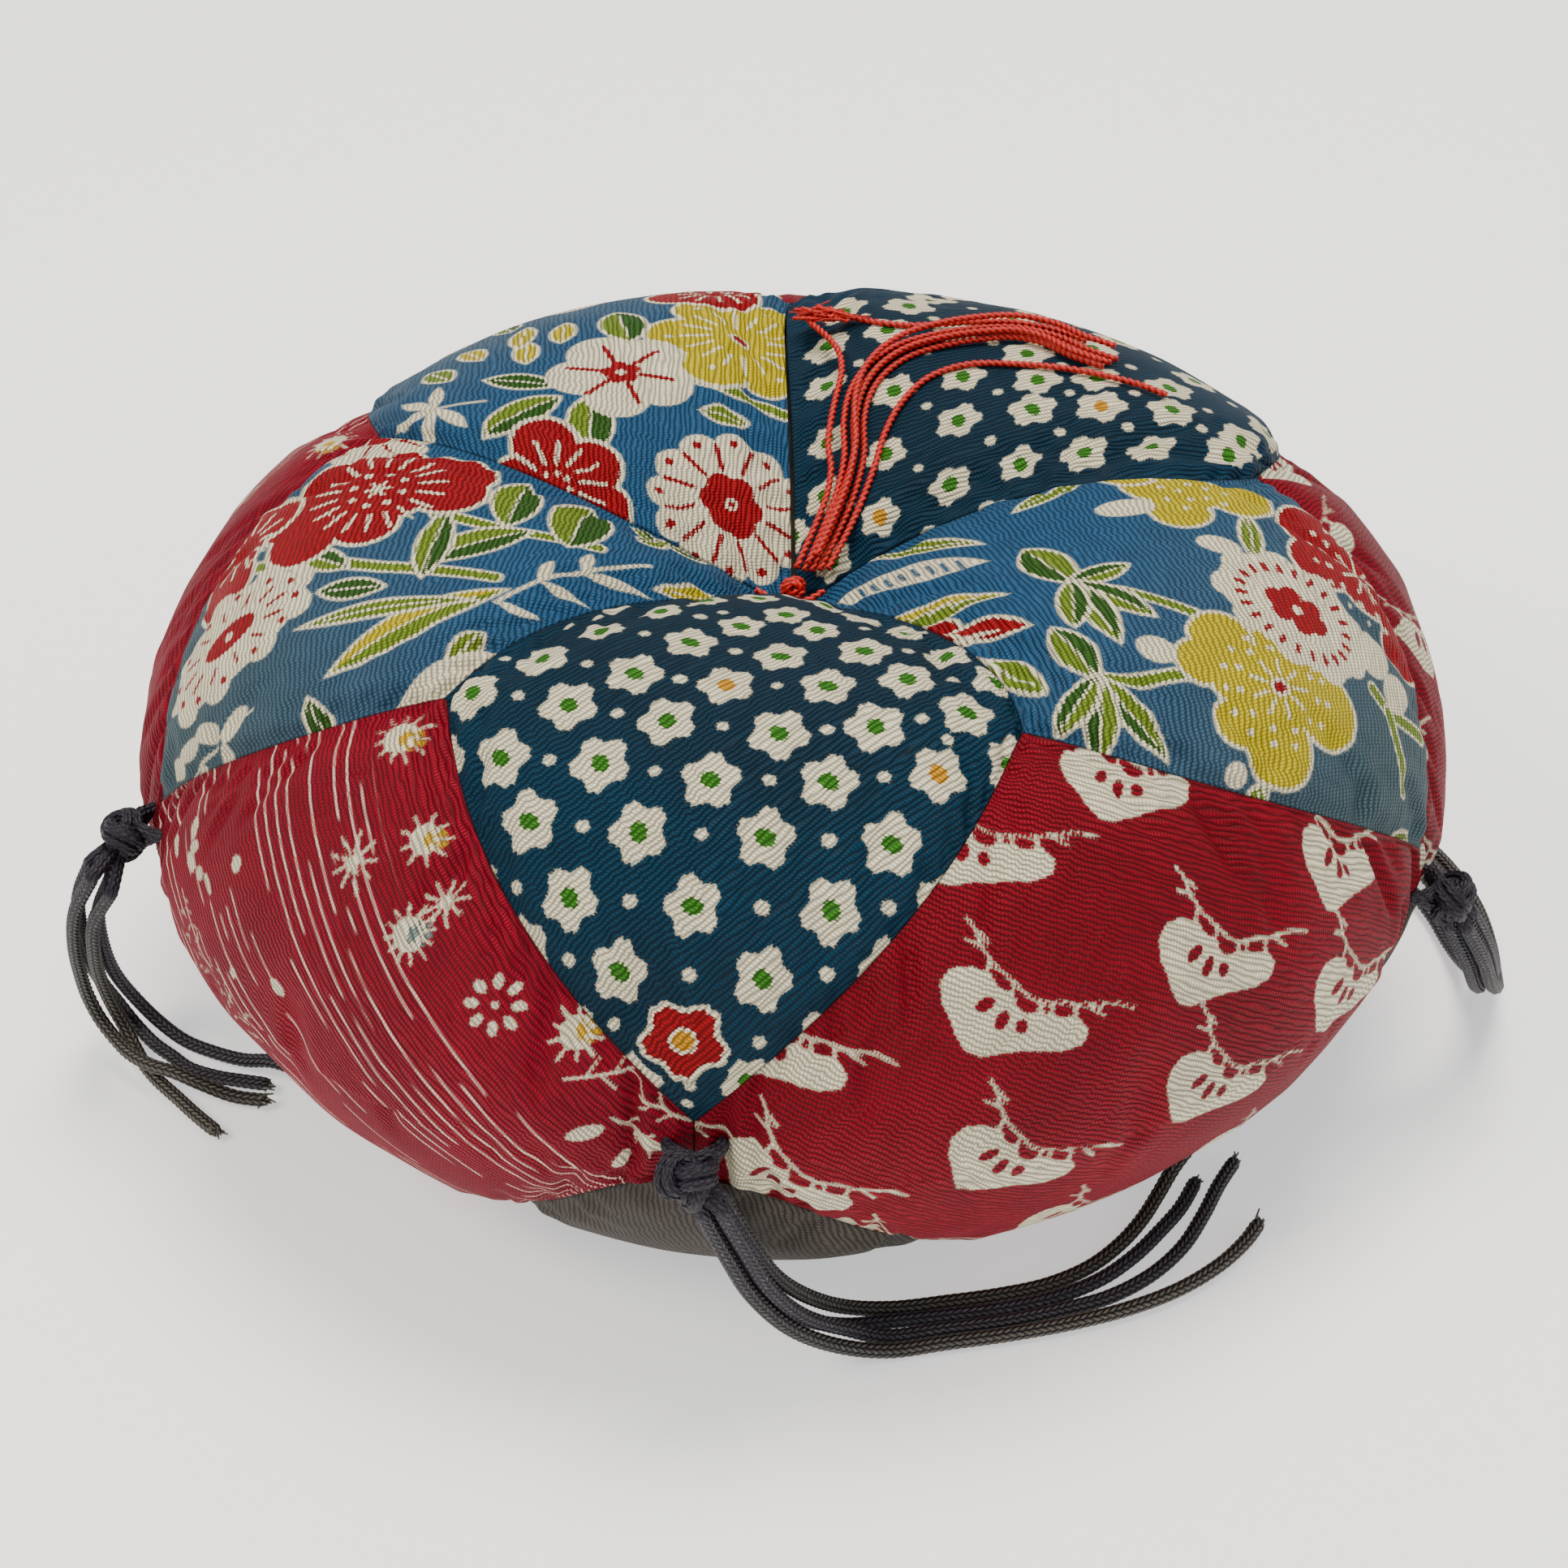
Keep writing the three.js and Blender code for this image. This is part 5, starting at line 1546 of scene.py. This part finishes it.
def soft_noise(x, y, size, seed):
    """Smooth noise from -1 to 1, with bumps of that size."""
    table = np.random.default_rng(seed).uniform(-1, 1, (64, 64))
    gx, gy = x / size, y / size
    i, j = np.floor(gx).astype(int), np.floor(gy).astype(int)
    fx, fy = smoothstep(gx - i), smoothstep(gy - j)

    def at(a, b):
        return table[(j + b) % 64, (i + a) % 64]

    low = at(0, 0) * (1 - fx) + at(1, 0) * fx
    high = at(0, 1) * (1 - fx) + at(1, 1) * fx
    return low * (1 - fy) + high * fy


def cubic_weights(fine, coarse):
    """Weights that turn values at even coarse steps into values along a finer line."""
    weights = np.zeros((len(fine), coarse + 1))
    spot = np.clip(fine, 0, 1) * coarse
    first = np.minimum(np.floor(spot).astype(int), coarse - 1)
    t = spot - first
    shares = (-0.5 * t + t ** 2 - 0.5 * t ** 3, 1 - 2.5 * t ** 2 + 1.5 * t ** 3,
              0.5 * t + 2 * t ** 2 - 1.5 * t ** 3, -0.5 * t ** 2 + 0.5 * t ** 3)
    for k, share in enumerate(shares):
        column = np.clip(first + k - 1, 0, coarse)
        np.add.at(weights, (np.arange(len(fine)), column), share)
    return weights


# ---- Blown up and held at the seams, as the stuffing presses the cloth out ----
SIM_SCALE = 10                   # the cloth solver works best near a metre
SIM_FRAMES = 20
SIM_CAP = 2.5
CLOTH_SETTINGS = {"quality": 8, "mass": 0.3, "tension_stiffness": 15, "compression_stiffness": 8,
                  "shear_stiffness": 5, "bending_stiffness": 0.4, "use_pressure": True,
                  "uniform_pressure_force": 4, "shrink_min": -0.04, "vertex_group_mass": "seams"}


def billowed(patches):
    """For each patch, how far each coarse point moves when the cloth is pressed out."""
    nets = [patch.net() for patch in patches]
    points = np.concatenate([net.reshape(-1, 3) for net in nets])
    _, keep, same = np.unique(np.round(points, 3) + 0.0, axis=0, return_index=True,
                              return_inverse=True)
    same = same.ravel()
    faces, seams, first = [], set(), 0
    for patch, net in zip(patches, nets):
        columns, rows = patch.net_size
        quads = same[np.array(grid_faces(columns, rows, first))]
        faces += [tuple(dict.fromkeys(face)) for face in quads.tolist()]
        index = first + np.arange((rows + 1) * (columns + 1)).reshape(rows + 1, columns + 1)
        for edge in (index[0], index[-1], index[:, 0], index[:, -1]):
            seams.update(same[edge].tolist())
        first += net[..., 0].size
    cover = new_mesh_object("cover", points[keep] * SIM_SCALE, [f for f in faces if len(f) > 2])
    turn_outward(cover)
    held = cover.vertex_groups.new(name="seams")
    held.add(sorted(seams), 1.0, "REPLACE")
    run_cloth(cover)
    view = bpy.context.evaluated_depsgraph_get()
    moved = np.array([v.co for v in cover.evaluated_get(view).data.vertices]) / MM / SIM_SCALE
    bpy.data.objects.remove(cover)
    shift = (moved - points[keep])[same]
    reach = np.linalg.norm(shift, axis=1)
    shift *= (np.minimum(reach, SIM_CAP) / np.maximum(reach, 1e-9))[:, None]
    shifts, first = [], 0
    for net in nets:
        shifts.append(shift[first:first + net[..., 0].size].reshape(net.shape))
        first += net[..., 0].size
    return shifts


def turn_outward(piece):
    """Turns all of a closed mesh's faces outward."""
    shape = bmesh.new()
    shape.from_mesh(piece.data)
    bmesh.ops.recalc_face_normals(shape, faces=shape.faces)
    shape.to_mesh(piece.data)
    shape.free()


def run_cloth(cover):
    """Steps the cloth through its frames, so that its modifier holds the result."""
    cloth = cover.modifiers.new("cloth", "CLOTH")
    for setting, value in CLOTH_SETTINGS.items():
        setattr(cloth.settings, setting, value)
    cloth.settings.effector_weights.gravity = 0
    cloth.collision_settings.use_collision = False
    cloth.collision_settings.use_self_collision = False
    cloth.point_cache.frame_start = 1
    cloth.point_cache.frame_end = SIM_FRAMES
    for moment in range(1, SIM_FRAMES + 1):
        bpy.context.scene.frame_set(moment)


def corner_share(patch, u, v):
    """1 at an inner corner, where the cloth is gathered, and 0 away from it."""
    if patch.kind == "side":
        away = np.hypot(2 * (u - 0.5), 0.6 * v)
    else:
        away = np.minimum(np.hypot(1 - u, v), np.hypot(u, 1 - v))
    return np.exp(-(away / GATHER_REACH) ** 2)


def patch_points(patch, u, v, polar, azimuth, shift):
    """Points of the fine grid, with the billow, puckers at the seams and small unevenness."""
    base = seam_surface(polar, azimuth)
    normal = surface_normal(polar, azimuth)
    edge, run = edge_runs(base)
    arch = np.maximum(16 * u * (1 - u) * v * (1 - v), 0) ** ARCH_POWER
    if shift is None:
        points = base + normal * (PUFF * arch)[..., None]
    else:
        columns, rows = patch.net_size
        wide, high = cubic_weights(u[0], columns), cubic_weights(v[:, 0], rows)
        billow = np.einsum("ij,jkc->ikc", high, shift)
        points = base + np.einsum("lk,ikc->ilc", wide, billow)
        points = points + normal * (EXTRA_PUFF * arch)[..., None]
    x, y = patch.flat(patch.index, polar, azimuth)
    seed = 40 + 5 * patch.index + len(patch.kind)
    waves = run / PUCKER_PITCH + 0.5 * soft_noise(run, np.zeros_like(run), 5, seed)
    depth = PUCKER_DEPTH + GATHER_DEPTH * corner_share(patch, u, v)
    pucker = (0.5 + 0.5 * np.sin(2 * np.pi * waves)) * np.exp(-edge / PUCKER_REACH)
    pucker *= smoothstep(edge / 0.5) * depth
    lumps = sum(soft_noise(x, y, size, seed + k) * height
                for k, (size, height) in enumerate(LUMPS, 1))
    points += normal * (lumps * smoothstep(edge / LUMPS_FROM) - pucker)[..., None]
    points[..., 2] = np.maximum(points[..., 2], FLOOR_GAP)
    return points, normal, edge, x, y


def with_allowance(points, normal, values):
    """The grid's points and faces with the edge turned in round it, and its values carried on."""
    rows, columns = points.shape[0] - 1, points.shape[1] - 1
    index = np.arange((rows + 1) * (columns + 1)).reshape(rows + 1, columns + 1)
    rim = np.concatenate([index[0, :-1], index[:-1, -1], index[-1, :0:-1], index[:0:-1, 0]])
    flat_points, flat_normal = points.reshape(-1, 3), normal.reshape(-1, 3)
    faces = grid_faces(columns, rows)
    all_points, before = [flat_points], rim
    for ring, depth in enumerate(ALLOWANCE):
        turned = flat_points[rim] - flat_normal[rim] * depth
        turned[:, 2] = np.maximum(turned[:, 2], FLOOR_GAP)
        current = len(flat_points) + ring * len(rim) + np.arange(len(rim))
        quads = np.stack([np.roll(before, -1), before, current, np.roll(current, -1)], -1)
        faces += quads.tolist()
        all_points.append(turned)
        before = current
    spread = [np.concatenate([value.reshape(len(flat_points), -1)]
                             + [value.reshape(len(flat_points), -1)[rim]] * len(ALLOWANCE))
              for value in values]
    return np.vstack(all_points), faces, spread


def make_patch(patch, shift):
    hole = TIE_HOLE if patch.kind != "side" else 0
    u, v, polar, azimuth = patch.grid(patch.columns, patch.rows, SEAM_INSETS[patch.kind], hole)
    points, normal, edge, x, y = patch_points(patch, u, v, polar, azimuth, shift)
    p = Print(x, y)
    patch.printing(p)
    cloth = np.stack([x, y, edge], -1)
    points, faces, values = with_allowance(points, normal, [cloth, *p.values()])
    first = points[faces[0]]
    outward = np.cross(first[1] - first[0], first[2] - first[0]).dot(normal[0, 0])
    if outward < 0:
        faces = [face[::-1] for face in faces]
    piece = new_mesh_object(f"crepe_{patch.name}", points, faces)
    for name, value in zip(("cloth", "print_a", "print_b"), values):
        add_values(piece, name, value)
    dress(piece, patch.material, "cushion", patch.slot_name, patch.name)


# ==== Stuffing ====
STUFFING_INSET = 2.2
STUFFING_HOLE = 2.6              # degrees of polar angle
STUFFING_FLOOR = 0.9


def make_stuffing():
    """The ring of packed fibre inside the patches, round the tie."""
    polar = np.linspace(STUFFING_HOLE, 180 - STUFFING_HOLE, 110)
    azimuth = np.linspace(0, 360, 180, endpoint=False)
    grid_azimuth, grid_polar = np.meshgrid(azimuth, polar)
    points = seam_surface(grid_polar, grid_azimuth)
    inset = STUFFING_INSET + 0.3 * soft_noise(points[..., 0], points[..., 1] + points[..., 2], 5, 9)
    points -= surface_normal(grid_polar, grid_azimuth) * inset[..., None]
    points[..., 2] = np.maximum(points[..., 2], STUFFING_FLOOR)
    rings, sides = points.shape[:2]
    j, i = np.mgrid[0:rings, 0:sides]
    here, below = j * sides, (j + 1) % rings * sides
    after = (i + 1) % sides
    quads = np.stack([here + i, below + i, below + after, here + after], -1)
    piece = new_mesh_object("fibre_stuffing", points.reshape(-1, 3), quads.reshape(-1, 4).tolist())
    dress(piece, packed_fibre("fibre"), "cushion", "stuffing_fibre", "stuffing")
    return piece


# ==== The cushion ====
def make_patches():
    """Every panel with its print and its crepe."""
    blossom_inks = {"green": "#2c6414", "yellow": "#b07a14"}
    navy = printed_crepe("navy_crepe_front", "#052a3d", "#052333", 48, blossom_inks)
    navy_back = printed_crepe("navy_crepe_back", "#05293d", "#052333", 60, blossom_inks)
    # The blue's second ground is the grey of its painted sheen near the rim.
    right, left, back_left = [
        printed_crepe(f"blue_crepe_{name}", "#1e4667", "#3a4d53", lean, fade=BLUE_RIM_SHEEN)
        for name, lean in (("right", 40), ("left", -24), ("back_left", 60))]
    fan = printed_crepe("red_fan_crepe", "#780018", "#6c0013", -33)
    star = printed_crepe("red_star_crepe", "#7c001c", "#720018", STREAK_LEAN + 4,
                         {"yellow": "#b08a20", "grey": "#5f6f6b"}, streaks=True)
    grey = printed_crepe("grey_plain_crepe", "#45403a", "#3e3935", 85)
    kinds = [("top", 0, front_print, navy, "navy_blossom_crepe"),
             ("top", 1, right_print, right, "blue_floral_crepe"),
             ("top", 2, back_right_print, navy_back, "navy_blossom_crepe"),
             ("top", 3, back_left_print, back_left, "blue_floral_crepe"),
             ("top", 4, left_print, left, "blue_floral_crepe")]
    kinds += [("side", index, fan_print, fan, "red_fan_crepe") for index in range(3)]
    kinds += [("side", 3, far_star_print, star, "red_streak_crepe"),
              ("side", 4, star_print, star, "red_streak_crepe")]
    kinds += [("under", index, no_print, grey, "grey_crepe") for index in range(5)]
    return [Patch(*kind) for kind in kinds]


def make_cushion():
    patches = make_patches()
    shifts = billowed(patches)
    stuffing = make_stuffing()
    for patch, shift in zip(patches, shifts):
        make_patch(patch, shift)


# ==== Floor and light ====
FLOOR_HALF = 40.0                # metres
FLOOR_DROP = 0.0002
FLOOR_GLOW = 0.65
# Each lamp: place and size in metres, power in watts, colour.
LAMPS = {
    "overhead": ((0.1, 0.15, 0.9), 0.5, 9.2, "#fffaf2"),
    "key": ((-0.55, -0.35, 0.75), 0.35, 4.5, "#fff8ee"),
    "fill": ((0.7, -0.6, 0.5), 0.6, 1.2, "#f3f6ff"),
}
AIM = Vector((0, 0, 0.02))
SKY = "#f4f5f7"
SKY_STRENGTH = 0.5


def make_floor():
    corners = [(x * FLOOR_HALF, y * FLOOR_HALF, 0) for x, y in ((-1, -1), (1, -1), (1, 1), (-1, 1))]
    mesh = bpy.data.meshes.new("floor")
    mesh.from_pydata(corners, [], [(0, 1, 2, 3)])
    floor = bpy.data.objects.new("floor", mesh)
    floor.location = (0, 0, -FLOOR_DROP)
    bpy.context.collection.objects.link(floor)
    shader = Shader("pale_floor")
    shader.put("#ffffff", shader.surface.inputs["Emission Color"])
    shader.put(FLOOR_GLOW, shader.surface.inputs["Emission Strength"])
    floor.data.materials.append(shader.finish("#f6f6f5", 0.9, specular=0.1))


def make_light(name, place, size, power, tint):
    data = bpy.data.lights.new(name, "AREA")
    data.shape = "DISK"
    data.size = size
    data.energy = power
    data.color = colour(tint)[:3]
    light = bpy.data.objects.new(name, data)
    light.location = place
    light.rotation_euler = (AIM - Vector(place)).to_track_quat("-Z", "Y").to_euler()
    bpy.context.collection.objects.link(light)


def make_studio():
    make_floor()
    for name, lamp in LAMPS.items():
        make_light(name, *lamp)
    world = bpy.data.worlds.new("studio")
    world.use_nodes = True
    back = world.node_tree.nodes["Background"]
    back.inputs["Color"].default_value = colour(SKY)
    back.inputs["Strength"].default_value = SKY_STRENGTH
    bpy.context.scene.world = world


def make_cords():
    for tip in TIPS:
        if tip.name in TASSEL_CORDS:
            make_tassel(tip)
    silk = braided_silk("back_loop_silk", *PURPLE)
    for tip in TIPS:
        if tip.name not in TASSEL_CORDS:
            make_loop(tip, silk, False)


make_camera()
make_cords()
# The thread's lit red and the painted shade, deep red, between its plies.
tuft_silk = twisted_silk("tuft_silk", "#d0180e", "#7c0806")
make_tuft(tuft_silk)
make_ties(tuft_silk)
make_cushion()
make_studio()
